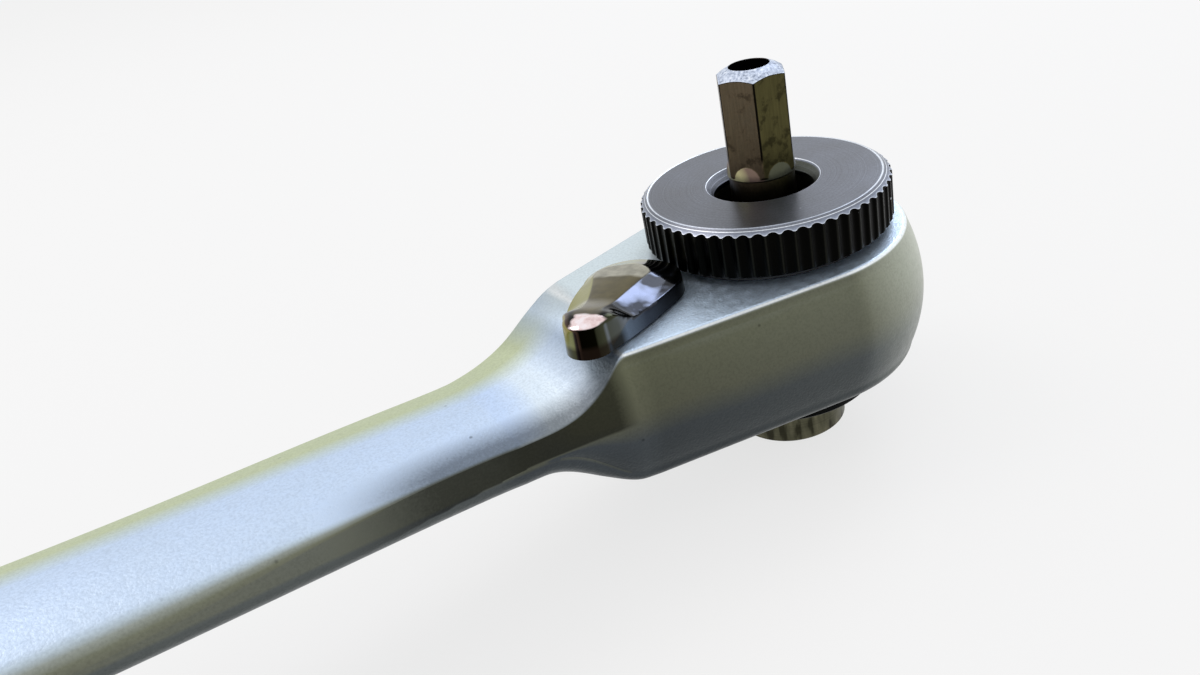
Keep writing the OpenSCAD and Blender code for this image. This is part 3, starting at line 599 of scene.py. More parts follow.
def driver_bit():
    """The bit as one closed surface carried round Z. Each row has its own height, and a radius
    that is a circle, a hexagon, the smaller of the two, which gives the scalloped edge of the
    turned cap, or the larger, which lets the neck's ball shoulder stand out of the flats. Its
    third value is the zone: one on the cap, a quarter on the shoulder, minus one on black."""
    cols = 240
    a = 2 * np.pi * (np.arange(cols) + 0.5) / cols + math.radians(BIT_TURN)
    one = np.ones(cols)
    none = 0 * one
    shank = hexagon_radius(a, SHANK_AF, SHANK_CORNER)
    tip = hexagon_radius(a, TIP_AF, TIP_CORNER)
    edge = clamp(1 - (TIP_CORNER - tip) / 0.035)
    rows = [(0.02 * one, Z_BIT * one, none), (2.6 * one, Z_BIT * one, none)]
    # shank: chamfered foot, hexagon with its clip groove, and the slope to the neck
    for d in np.linspace(0, 0.75, 7):
        rows.append((np.minimum(shank, 2.94 + d), (Z_BIT + d) * one, none))
    for d in (-1.9, -0.4, -0.32, -0.2, 0, 0.2, 0.32, 0.4, 2.5, 5.1):
        dip = math.sqrt(max(0, GROOVE_R ** 2 - d ** 2))
        rows.append((np.minimum(shank, GROOVE_OUT - dip), (GROOVE_Z + d) * one, none))
    for d in np.linspace(0, 0.7, 6):
        rows.append((np.minimum(shank, GROOVE_OUT - d * 1.6), (SHANK_TOP + d) * one, none))
    rows.append((NECK_R * one, NECK_LOW * one, none))
    rows.append((NECK_R * one, (NECK_TOP - 0.15) * one, none))
    # the neck's ball shoulder stands out of each flat as a half disc
    for s in np.linspace(0, 1.22, 27):
        ball = math.sqrt(BALL_R ** 2 - s * s)
        lead = np.minimum(tip, NECK_R + 0.02 + 0.95 * s)
        rows.append((np.maximum(lead, ball), (NECK_TOP + s) * one, 0.25 * (ball > lead + 0.004)))
    for z in (25.6, 27, 28.5, 30, 31.0):
        rows.append((tip, z * one, -edge))
    # turned cap: a rounded cone, which cuts the corners lower than the flats
    step = np.minimum(tip, TIP_CORNER + 0.01)
    low = CAP_LOW + (TIP_CORNER - step) * CAP_FALL
    rows.append((step, low - 0.035, -edge))
    rows.append((step, low - 0.03, -one))
    rows.append((step, low, -one))
    for s in (0.02, 0.15, 0.3, 0.45, 0.6, 0.75, 0.88):
        swell = CAP_SWELL * math.sin(math.pi * s)
        rows.append((mix(step, HOLE_R + 0.04, s), mix(low, Z_TIP - 0.03, s) + swell, one))
    # rounded lip, then down the pin hole to its floor
    rows.append(((HOLE_R + 0.06) * one, (Z_TIP - 0.01) * one, one))
    rows.append(((HOLE_R + 0.03) * one, Z_TIP * one, one))
    for z in (0.03, 0.2, HOLE_DEEP):
        rows.append((HOLE_R * one, (Z_TIP - z) * one, -one))
    rows.append((0.02 * one, (Z_TIP - HOLE_DEEP) * one, -one))
    n = len(rows)
    faces = grid_faces(n, cols, close_cols=True).tolist()
    ring = np.arange(cols)
    faces.append(ring[::-1].tolist())
    faces.append((ring + (n - 1) * cols).tolist())
    piece = new_piece("driver_bit", carried_round(rows, a), faces)
    mark(piece, "zone", np.array([row[2] for row in rows]))
    return piece


bit = driver_bit()
smooth_by_angle(bit, 30)
seat(bit, "bit", "bit_steel", "bit")


# Materials.

def linear(text):
    """An sRGB hex colour as linear values with an alpha of one."""
    raw = [int(text[k:k + 2], 16) / 255 for k in (1, 3, 5)]
    return [c / 12.92 if c <= 0.04045 else ((c + 0.055) / 1.055) ** 2.4 for c in raw] + [1.0]


def add(tree, kind, links=None, stops=None, **settings):
    """Adds a node. Settings name its properties, links give each socket a value or another
    node's output, and stops are the places and hex colours of a ramp."""
    made = tree.nodes.new(kind)
    for key, value in settings.items():
        setattr(made, key, value)
    if stops:
        ramp = made.color_ramp
        while len(ramp.elements) < len(stops):
            ramp.elements.new(1.0)
        for element, (place, colour) in zip(ramp.elements, stops):
            element.position = place
            element.color = linear(colour)
    for key, value in (links or {}).items():
        if isinstance(value, bpy.types.NodeSocket):
            tree.links.new(value, made.inputs[key])
        else:
            made.inputs[key].default_value = value
    return made


def new_material(name):
    """An empty material with its output and a shader, and the object's own coordinates."""
    made = bpy.data.materials.new(name)
    made.use_nodes = True
    tree = made.node_tree
    tree.nodes.clear()
    shader = add(tree, "ShaderNodeBsdfPrincipled")
    add(tree, "ShaderNodeOutputMaterial", {"Surface": shader.outputs[0]})
    place = add(tree, "ShaderNodeTexCoord")
    return made, tree, shader, place


def dress(material, *names):
    """Gives a material to pieces of the scene or nodes of the model."""
    for name in names:
        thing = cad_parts.get(name) or bpy.data.objects[name]
        thing.data.materials.clear()
        thing.data.materials.append(material)


def chrome_painted_light(tree, flat, up, spot):
    """Tones of the chrome by facing and place, painted reflections and painted shade: dark below,
    olive grey on the flanks and pale above, lighter towards the nose and over the head, a painted
    highlight that makes the slope the brightest place, a painted pale olive reflection along the
    far edge, and a painted highlight on the rim."""
    cloud = add(tree, "ShaderNodeTexNoise", {0: flat, "Scale": 150.0, "Detail": 4.0})
    # painted reflection and shade: the level of each tone follows the way the skin faces, a
    # little uneven
    waver = add(tree, "ShaderNodeMath", {0: cloud.outputs[0], 1: 0.05, 2: -0.025},
                operation="MULTIPLY_ADD")
    tone = add(tree, "ShaderNodeMapRange", {0: up.outputs[2], 1: -1.0, 2: 1.0})
    shift = add(tree, "ShaderNodeMath", {0: tone.outputs[0], 1: waver.outputs[0]})
    colour = add(tree, "ShaderNodeValToRGB", {0: shift.outputs[0]}, stops=[
        (0.0, "#585F63"), (0.28, "#3B4144"), (0.44, "#41464A"), (0.53, "#5A5B4C"),
        (0.66, "#60624F"), (0.8, "#868C88"), (0.9, "#B2C2D2"), (1.0, "#C2D6F4")])
    # painted reflection: the flank grows lighter towards the nose
    ahead = add(tree, "ShaderNodeMapRange", {0: spot.outputs[0], 1: -0.022, 2: 0.004, 3: 0.0,
                                             4: 0.16})
    turn = add(tree, "ShaderNodeMapRange", {0: up.outputs[0], 1: -0.1, 2: 0.7, 3: 0.0,
                                            4: 0.85})
    both = add(tree, "ShaderNodeMath", {0: ahead.outputs[0], 1: turn.outputs[0]})
    high = add(tree, "ShaderNodeMapRange", {0: spot.outputs[2], 1: 0.009, 2: 0.016, 3: 0.35,
                                            4: 1.0})
    nose = add(tree, "ShaderNodeMath", {0: both.outputs[0], 1: high.outputs[0]},
               operation="MULTIPLY")
    nose_lit = add(tree, "ShaderNodeMix", {"Factor": nose.outputs[0], 6: colour.outputs[0],
                                          7: linear("#C3C9BC")}, data_type="RGBA")
    # painted reflection: the head's top is a little lighter than the handle's
    fore = add(tree, "ShaderNodeMapRange", {0: spot.outputs[0], 1: -0.022, 2: -0.02})
    lit = add(tree, "ShaderNodeMapRange", {0: up.outputs[2], 1: 0.45, 2: 0.75})
    above = add(tree, "ShaderNodeMapRange", {0: up.outputs[2], 1: 0.85, 2: 0.98})
    clear = add(tree, "ShaderNodeMath", {0: fore.outputs[0], 1: above.outputs[0]},
                operation="MULTIPLY")
    beyond = add(tree, "ShaderNodeMapRange", {0: spot.outputs[1], 1: -0.004, 2: 0.005})
    bluish = add(tree, "ShaderNodeMix", {"Factor": beyond.outputs[0], 6: linear("#D6E8FB"),
                                         7: linear("#CFDBE4")}, data_type="RGBA")
    topped = add(tree, "ShaderNodeMix", {"Factor": clear.outputs[0], 6: nose_lit.outputs[2],
                                         7: bluish.outputs[2]}, data_type="RGBA")
    # painted highlight on the slope, the brightest place, and a painted pale olive reflection
    # along the far edge
    begun = add(tree, "ShaderNodeMapRange", {0: spot.outputs[0], 1: -0.0205, 2: -0.0235})
    leant = add(tree, "ShaderNodeMapRange", {0: up.outputs[0], 1: -0.01, 2: -0.12, 3: 0.0,
                                             4: 0.85})
    slope = add(tree, "ShaderNodeMath", {0: leant.outputs[0], 1: begun.outputs[0]},
                operation="MULTIPLY")
    bright = add(tree, "ShaderNodeMath", {0: slope.outputs[0], 1: lit.outputs[0]},
                 operation="MULTIPLY")
    sloped = add(tree, "ShaderNodeMix", {"Factor": bright.outputs[0], 6: topped.outputs[2],
                                         7: linear("#DDE9F2")}, data_type="RGBA")
    offside = add(tree, "ShaderNodeAttribute", attribute_name="offside")
    band = add(tree, "ShaderNodeMapRange", {0: offside.outputs["Fac"], 1: 0.16, 2: 0.56})
    neck = add(tree, "ShaderNodeMapRange", {0: spot.outputs[0], 1: -0.0195, 2: -0.0225,
                                            3: 0.12, 4: 0.95})
    facing = add(tree, "ShaderNodeMath", {0: band.outputs[0], 1: lit.outputs[0]},
                 operation="MULTIPLY")
    edge = add(tree, "ShaderNodeMath", {0: facing.outputs[0], 1: neck.outputs[0]},
               operation="MULTIPLY")
    olive = add(tree, "ShaderNodeMix", {"Factor": edge.outputs[0], 6: sloped.outputs[2],
                                        7: linear("#BCC5A2")}, data_type="RGBA")
    # painted highlight along the rim of the head's top
    rim = add(tree, "ShaderNodeAttribute", attribute_name="rim")
    glinting = add(tree, "ShaderNodeMix", {"Factor": rim.outputs["Fac"], 6: olive.outputs[2],
                                           7: linear("#EEF3F5")}, data_type="RGBA")
    return glinting.outputs[2]


def chrome_grain_and_shade(tree, up, spot, grit, pit):
    """The share of its tone that the chrome keeps: grain and pits take some everywhere, and a
    painted shade greys the slope towards its near edge, dims it where it starts and darkens it
    where it is steep."""
    # tone of the grain, which is 0.2 mm across
    fleck = add(tree, "ShaderNodeMapRange", {0: grit.outputs[0], 1: 0.3, 2: 0.7, 3: 0.9,
                                             4: 1.07})
    dark = add(tree, "ShaderNodeMapRange", {0: pit.outputs[0], 3: 0.5, 4: 1.0})
    flecked = add(tree, "ShaderNodeMath", {0: fleck.outputs[0], 1: dark.outputs[0]},
                  operation="MULTIPLY")
    # painted shade: the slope greys towards its near edge, unevenly, and dims where it starts
    brink = add(tree, "ShaderNodeAttribute", attribute_name="brink")
    patchy_painted_light = add(tree, "ShaderNodeMath", {0: grit.outputs[0], 1: 0.5, 2: -0.25},
                 operation="MULTIPLY_ADD")
    dusky = add(tree, "ShaderNodeMath", {0: brink.outputs["Fac"], 1: patchy_painted_light.outputs[0]})
    painted_greying = add(tree, "ShaderNodeMapRange", {0: dusky.outputs[0], 1: 0.05, 2: 0.9, 3: 1.0,
                                              4: 0.3})
    start = add(tree, "ShaderNodeMapRange", {0: up.outputs[0], 1: -0.04, 2: -0.15, 4: 0.22})
    past = add(tree, "ShaderNodeMapRange", {0: spot.outputs[0], 1: -0.0195, 2: -0.018})
    dim = add(tree, "ShaderNodeMath", {0: start.outputs[0], 1: past.outputs[0]},
              operation="MULTIPLY")
    dimmed = add(tree, "ShaderNodeMath", {0: painted_greying.outputs[0], 1: dim.outputs[0]},
                 operation="SUBTRACT")
    # painted shade: the steep part of the slope is darker than its foot
    steep = add(tree, "ShaderNodeMapRange", {0: up.outputs[0], 1: -0.28, 2: -0.6, 3: 0.0,
                                             4: 0.38})
    near_head = add(tree, "ShaderNodeMapRange", {0: spot.outputs[0], 1: -0.03, 2: -0.027})
    steep_shade = add(tree, "ShaderNodeMath", {0: steep.outputs[0], 1: near_head.outputs[0]},
                 operation="MULTIPLY")
    kept = add(tree, "ShaderNodeMath", {0: 1.0, 1: steep_shade.outputs[0]}, operation="SUBTRACT")
    toned = add(tree, "ShaderNodeMath", {0: dimmed.outputs[0], 1: kept.outputs[0]},
                operation="MULTIPLY")
    shade = add(tree, "ShaderNodeMath", {0: flecked.outputs[0], 1: toned.outputs[0]},
                operation="MULTIPLY")
    return shade.outputs[0]


def satin_chrome():
    """Satin chrome over forged and blasted steel. It gives the eye, in painted reflections, a
    soft bluish sheen above and an olive grey flank that grows lighter towards the nose, painted
    shade on the slope, a matt grain like fine orange peel, a bright painted highlight on the rim,
    and a few tiny pits."""
    made, tree, shader, place = new_material("satin_chrome_on_forged_steel")
    flat = place.outputs["Object"]
    up = add(tree, "ShaderNodeSeparateXYZ", {0: place.outputs["Normal"]})
    spot = add(tree, "ShaderNodeSeparateXYZ", {0: flat})
    grit = add(tree, "ShaderNodeTexNoise", {0: flat, "Scale": 5200.0, "Detail": 2.0})
    peel = add(tree, "ShaderNodeTexNoise", {0: flat, "Scale": 1500.0, "Detail": 3.0})
    # pits 0.1 mm across, a few to the square centimetre
    pits = add(tree, "ShaderNodeTexVoronoi", {0: flat, "Scale": 330.0})
    pit = add(tree, "ShaderNodeMapRange", {0: pits.outputs[0], 1: 0.02, 2: 0.06})
    tone = chrome_painted_light(tree, flat, up, spot)
    kept = chrome_grain_and_shade(tree, up, spot, grit, pit)
    final = add(tree, "ShaderNodeMix", {"Factor": 1.0, 6: tone, 7: kept}, data_type="RGBA",
                blend_type="MULTIPLY", clamp_result=True)
    # blasted a little rougher above than on the flanks
    matt = add(tree, "ShaderNodeMapRange", {0: up.outputs[2], 1: 0.3, 2: 0.9, 3: 0.0,
                                            4: 0.13})
    rough = add(tree, "ShaderNodeMapRange", {0: peel.outputs[0], 1: 0.3, 2: 0.7, 3: 0.3,
                                             4: 0.4})
    matted = add(tree, "ShaderNodeMath", {0: rough.outputs[0], 1: matt.outputs[0]})
    low = add(tree, "ShaderNodeBump", {"Height": peel.outputs[0], "Strength": 0.6,
                                       "Distance": 0.00004})
    mid = add(tree, "ShaderNodeBump", {"Height": grit.outputs[0], "Strength": 0.9,
                                       "Distance": 0.00003, "Normal": low.outputs[0]})
    deep = add(tree, "ShaderNodeBump", {"Height": pit.outputs[0], "Strength": 0.6,
                                        "Distance": 0.00003, "Normal": mid.outputs[0]})
    tree.links.new(final.outputs[2], shader.inputs["Base Color"])
    tree.links.new(matted.outputs[0], shader.inputs["Roughness"])
    tree.links.new(deep.outputs[0], shader.inputs["Normal"])
    shader.inputs["Metallic"].default_value = 1.0
    return made


def black_oxide_wheel():
    """Black oxide on turned and knurled steel, bared by rubbing on top. It gives the eye a dull
    grey turned face, pale bared edges with painted highlight lines, a painted olive reflection in
    the mouth of the bore, and a deep black knurled wall whose ribs are a shade lighter, by wear
    and a faint painted sheen."""
    made, tree, shader, place = new_material("black_oxide_on_turned_steel")
    flat = place.outputs["Object"]
    spot = add(tree, "ShaderNodeSeparateXYZ", {0: flat})
    around = add(tree, "ShaderNodeCombineXYZ", {0: spot.outputs[0], 1: spot.outputs[1]})
    radius = add(tree, "ShaderNodeVectorMath", {0: around.outputs[0]}, operation="LENGTH")
    # turning marks 0.09 mm apart, drawn a little coarser than real to show
    lay = add(tree, "ShaderNodeTexNoise", {"W": radius.outputs["Value"], "Scale": 9000.0,
                                           "Detail": 2.0}, noise_dimensions="1D")
    cloud = add(tree, "ShaderNodeTexNoise", {0: flat, "Scale": 220.0, "Detail": 5.0})
    grit = add(tree, "ShaderNodeTexNoise", {0: flat, "Scale": 7000.0, "Detail": 2.0})
    wear_and_sheen = add(tree, "ShaderNodeAttribute", attribute_name="wear_and_sheen")
    # from black over bared grey to pale; the palest stops paint highlight lines
    colour = add(tree, "ShaderNodeValToRGB", {0: wear_and_sheen.outputs["Fac"]}, stops=[
        (0.0, "#080807"), (0.1, "#2B2C27"), (0.16, "#55575C"), (0.3, "#6B6F78"),
        (0.45, "#757982"), (0.55, "#7E8492"), (0.75, "#99A1B2"), (1.0, "#E4EAF2")])
    # painted reflection: the mouth of the bore is olive where it looks back at the handle
    away = add(tree, "ShaderNodeSeparateXYZ", {0: place.outputs["Normal"]})
    back = add(tree, "ShaderNodeMapRange", {0: away.outputs[0], 1: 0.1, 2: -0.35})
    mouth = add(tree, "ShaderNodeMapRange", {0: radius.outputs["Value"], 1: 0.00448,
                                             2: 0.00445, 3: 0.0, 4: 0.85})
    turn = add(tree, "ShaderNodeMath", {0: back.outputs[0], 1: mouth.outputs[0]},
               operation="MULTIPLY")
    darkened = add(tree, "ShaderNodeMix", {"Factor": turn.outputs[0], 6: colour.outputs[0],
                                        7: linear("#4A4C3F")}, data_type="RGBA")
    blot = add(tree, "ShaderNodeMapRange", {0: cloud.outputs[0], 1: 0.3, 2: 0.7, 3: 0.84,
                                            4: 1.12})
    line = add(tree, "ShaderNodeMapRange", {0: lay.outputs[0], 1: 0.3, 2: 0.7, 3: 0.88,
                                            4: 1.1})
    fleck = add(tree, "ShaderNodeMapRange", {0: grit.outputs[0], 1: 0.3, 2: 0.7, 3: 0.86,
                                             4: 1.14})
    first = add(tree, "ShaderNodeMath", {0: blot.outputs[0], 1: line.outputs[0]},
                operation="MULTIPLY")
    second = add(tree, "ShaderNodeMath", {0: first.outputs[0], 1: fleck.outputs[0]},
                 operation="MULTIPLY")
    shaded = add(tree, "ShaderNodeMix", {"Factor": 1.0, 6: darkened.outputs[2],
                                         7: second.outputs[0]}, data_type="RGBA",
                 blend_type="MULTIPLY", clamp_result=True)
    # a few bright nicks
    nicks = add(tree, "ShaderNodeTexVoronoi", {0: flat, "Scale": 480.0})
    nick = add(tree, "ShaderNodeMapRange", {0: nicks.outputs[0], 1: 0.055, 2: 0.03})
    seen = add(tree, "ShaderNodeMath", {0: nick.outputs[0], 1: 0.6}, operation="MULTIPLY")
    nicked = add(tree, "ShaderNodeMix", {"Factor": seen.outputs[0], 6: shaded.outputs[2],
                                         7: linear("#B9BEC4")}, data_type="RGBA")
    rough = add(tree, "ShaderNodeMapRange", {0: cloud.outputs[0], 1: 0.3, 2: 0.7, 3: 0.3,
                                             4: 0.42})
    ring = add(tree, "ShaderNodeBump", {"Height": lay.outputs[0], "Strength": 0.35,
                                        "Distance": 0.00001})
    skin = add(tree, "ShaderNodeBump", {"Height": grit.outputs[0], "Strength": 0.4,
                                        "Distance": 0.00001, "Normal": ring.outputs[0]})
    tree.links.new(nicked.outputs[2], shader.inputs["Base Color"])
    tree.links.new(rough.outputs[0], shader.inputs["Roughness"])
    tree.links.new(skin.outputs[0], shader.inputs["Normal"])
    shader.inputs["Metallic"].default_value = 1.0
    return made


def lever_walls(tree, up, spot, along, tip):
    """Walls of the lever, in painted reflections: black at the wheel and clearing towards the
    finger end, whose front passes from brass over black to olive by how far it looks left or
    right, with a painted shadow along its foot."""
    near = add(tree, "ShaderNodeMapRange", {0: along.outputs["Fac"], 1: -3.0, 2: 8.0})
    wall = add(tree, "ShaderNodeValToRGB", {0: near.outputs[0]}, stops=[
        (0.1, "#050606"), (0.32, "#121315"), (0.5, "#24262B"), (0.68, "#3A3D44"),
        (0.86, "#666C74")])
    left = add(tree, "ShaderNodeMath", {0: up.outputs[1], 1: -0.2725, 2: 0.5},
               operation="MULTIPLY_ADD")
    side = add(tree, "ShaderNodeMath", {0: up.outputs[0], 1: 0.419, 2: left.outputs[0]},
               operation="MULTIPLY_ADD")
    front = add(tree, "ShaderNodeValToRGB", {0: side.outputs[0]}, stops=[
        (0.05, "#8B8350"), (0.21, "#8B8350"), (0.25, "#4A3A32"), (0.32, "#33261F"),
        (0.36, "#040301"), (0.66, "#060602"), (0.7, "#2D2F22"), (0.84, "#3B3D2F"),
        (0.9, "#6B7279")])
    # painted contact shadow along the foot of the finger end
    foot = add(tree, "ShaderNodeMapRange", {0: spot.outputs[2], 1: 0.0193, 2: 0.0189,
                                            3: 0.0, 4: 0.75})
    low = add(tree, "ShaderNodeMix", {"Factor": foot.outputs[0], 6: front.outputs[0],
                                      7: linear("#1E1611")}, data_type="RGBA")
    walls = add(tree, "ShaderNodeMix", {"Factor": tip.outputs[0], 6: wall.outputs[0],
                                        7: low.outputs[2]}, data_type="RGBA")
    return walls.outputs[2]


def lever_bevels(tree, up, wave):
    """Bevels of the lever, in painted reflections: streaky blue on the near side, brassy on the
    far one, and near black where they look at the wheel."""
    far = add(tree, "ShaderNodeMapRange", {0: up.outputs[1], 1: -0.08, 2: 0.08})
    streaky = add(tree, "ShaderNodeValToRGB", {0: wave.outputs[0]}, stops=[
        (0.42, "#24262B"), (0.5, "#545A69"), (0.62, "#656C80")])
    bevel = add(tree, "ShaderNodeMix", {"Factor": far.outputs[0], 6: streaky.outputs[0],
                                        7: linear("#807E33")}, data_type="RGBA")
    wheelward = add(tree, "ShaderNodeMapRange", {0: up.outputs[0], 1: 0.24, 2: 0.32})
    bevels = add(tree, "ShaderNodeMix", {"Factor": wheelward.outputs[0], 6: bevel.outputs[2],
                                         7: linear("#15171A")}, data_type="RGBA")
    return bevels.outputs[2]


def crown_highlight(tree, up, bend, mottle):
    """A painted pale highlight on the crown of the finger end, with a ragged edge."""
    end = add(tree, "ShaderNodeMapRange", {0: bend.outputs[0], 1: 8.3, 2: 8.6})
    crown = add(tree, "ShaderNodeMapRange", {0: up.outputs[2], 1: 0.68, 2: 0.78})
    across = add(tree, "ShaderNodeAttribute", attribute_name="across")
    ragged = add(tree, "ShaderNodeMath", {0: mottle.outputs[0], 1: 1.6, 2: across.outputs["Fac"]},
                 operation="MULTIPLY_ADD")
    inner = add(tree, "ShaderNodeMapRange", {0: ragged.outputs[0], 1: 0.0, 2: 0.25})
    outer = add(tree, "ShaderNodeMapRange", {0: ragged.outputs[0], 1: 2.6, 2: 2.2})
    span = add(tree, "ShaderNodeMath", {0: inner.outputs[0], 1: outer.outputs[0]},
               operation="MULTIPLY")
    patch = add(tree, "ShaderNodeMath", {0: end.outputs[0], 1: span.outputs[0]},
                operation="MULTIPLY")
    wear_and_sheen = add(tree, "ShaderNodeMath", {0: patch.outputs[0], 1: crown.outputs[0]},
               operation="MULTIPLY")
    return wear_and_sheen.outputs[0]


def dark_chrome():
    """Dark chrome over a zinc casting with a mirror polish. It gives the eye sharp reflections
    and painted ones: a brown top with a painted grey reflection over the pivot, a brassy far
    bevel and a clear blue near one, a painted pale highlight on the crown of the finger end, and
    a front that passes from brass over black to olive."""
    made, tree, shader, place = new_material("polished_dark_chrome")
    flat = place.outputs["Object"]
    wave = add(tree, "ShaderNodeTexNoise", {0: flat, "Scale": 500.0, "Detail": 2.0})
    mottle = add(tree, "ShaderNodeTexNoise", {0: flat, "Scale": 1300.0, "Detail": 3.0})
    up = add(tree, "ShaderNodeSeparateXYZ", {0: place.outputs["Normal"]})
    spot = add(tree, "ShaderNodeSeparateXYZ", {0: flat})
    along = add(tree, "ShaderNodeAttribute", attribute_name="along")
    level = add(tree, "ShaderNodeAttribute", attribute_name="flat")
    sloped = add(tree, "ShaderNodeAttribute", attribute_name="sloped")
    # the top: brown and mottled plating, with a painted grey reflection over the pivot and a
    # little again at the tip
    bend = add(tree, "ShaderNodeMath", {0: wave.outputs[0], 1: 1.2, 2: along.outputs["Fac"]},
               operation="MULTIPLY_ADD")
    part = add(tree, "ShaderNodeMapRange", {0: bend.outputs[0], 1: 1.3, 2: 1.7})
    top = add(tree, "ShaderNodeMix", {"Factor": part.outputs[0], 6: linear("#9C9A8D"),
                                      7: linear("#564F34")}, data_type="RGBA")
    grey = add(tree, "ShaderNodeMapRange", {0: bend.outputs[0], 1: 6.2, 2: 6.9, 3: 0.0,
                                            4: 0.12})
    painted_greying = add(tree, "ShaderNodeMix", {"Factor": grey.outputs[0], 6: top.outputs[2],
                                         7: linear("#938B7D")}, data_type="RGBA")
    cloudy = add(tree, "ShaderNodeMapRange", {0: mottle.outputs[0], 1: 0.35, 2: 0.65, 3: 0.78,
                                              4: 1.12})
    mottled = add(tree, "ShaderNodeMix", {"Factor": 1.0, 6: painted_greying.outputs[2],
                                          7: cloudy.outputs[0]}, data_type="RGBA",
                  blend_type="MULTIPLY")
    tip = add(tree, "ShaderNodeMapRange", {0: along.outputs["Fac"], 1: 6.5, 2: 7.1})
    walls = lever_walls(tree, up, spot, along, tip)
    flats = add(tree, "ShaderNodeMix", {"Factor": level.outputs["Fac"], 6: walls,
                                        7: mottled.outputs[2]}, data_type="RGBA")
    # bevels, which end before the finger end
    short = add(tree, "ShaderNodeMapRange", {0: tip.outputs[0], 3: 1.0, 4: 0.0})
    share = add(tree, "ShaderNodeMath", {0: sloped.outputs["Fac"], 1: short.outputs[0]},
                operation="MULTIPLY")
    both = add(tree, "ShaderNodeMix", {"Factor": share.outputs[0], 6: flats.outputs[2],
                                       7: lever_bevels(tree, up, wave)}, data_type="RGBA")
    # painted highlight on the crown of the finger end
    pale = add(tree, "ShaderNodeValToRGB", {0: mottle.outputs[0]}, stops=[
        (0.38, "#D9BFC0"), (0.5, "#EAD6D6"), (0.65, "#F4EAEE")])
    crowned = add(tree, "ShaderNodeMix", {"Factor": crown_highlight(tree, up, bend, mottle),
                                          6: both.outputs[2], 7: pale.outputs[0]},
                  data_type="RGBA")
    rough = add(tree, "ShaderNodeMapRange", {0: wave.outputs[0], 1: 0.3, 2: 0.7, 3: 0.07,
                                             4: 0.15})
    dent = add(tree, "ShaderNodeBump", {"Height": wave.outputs[0], "Strength": 0.3,
                                        "Distance": 0.00006})
    tree.links.new(crowned.outputs[2], shader.inputs["Base Color"])
    tree.links.new(rough.outputs[0], shader.inputs["Roughness"])
    tree.links.new(dent.outputs[0], shader.inputs["Normal"])
    shader.inputs["Metallic"].default_value = 1.0
    return made


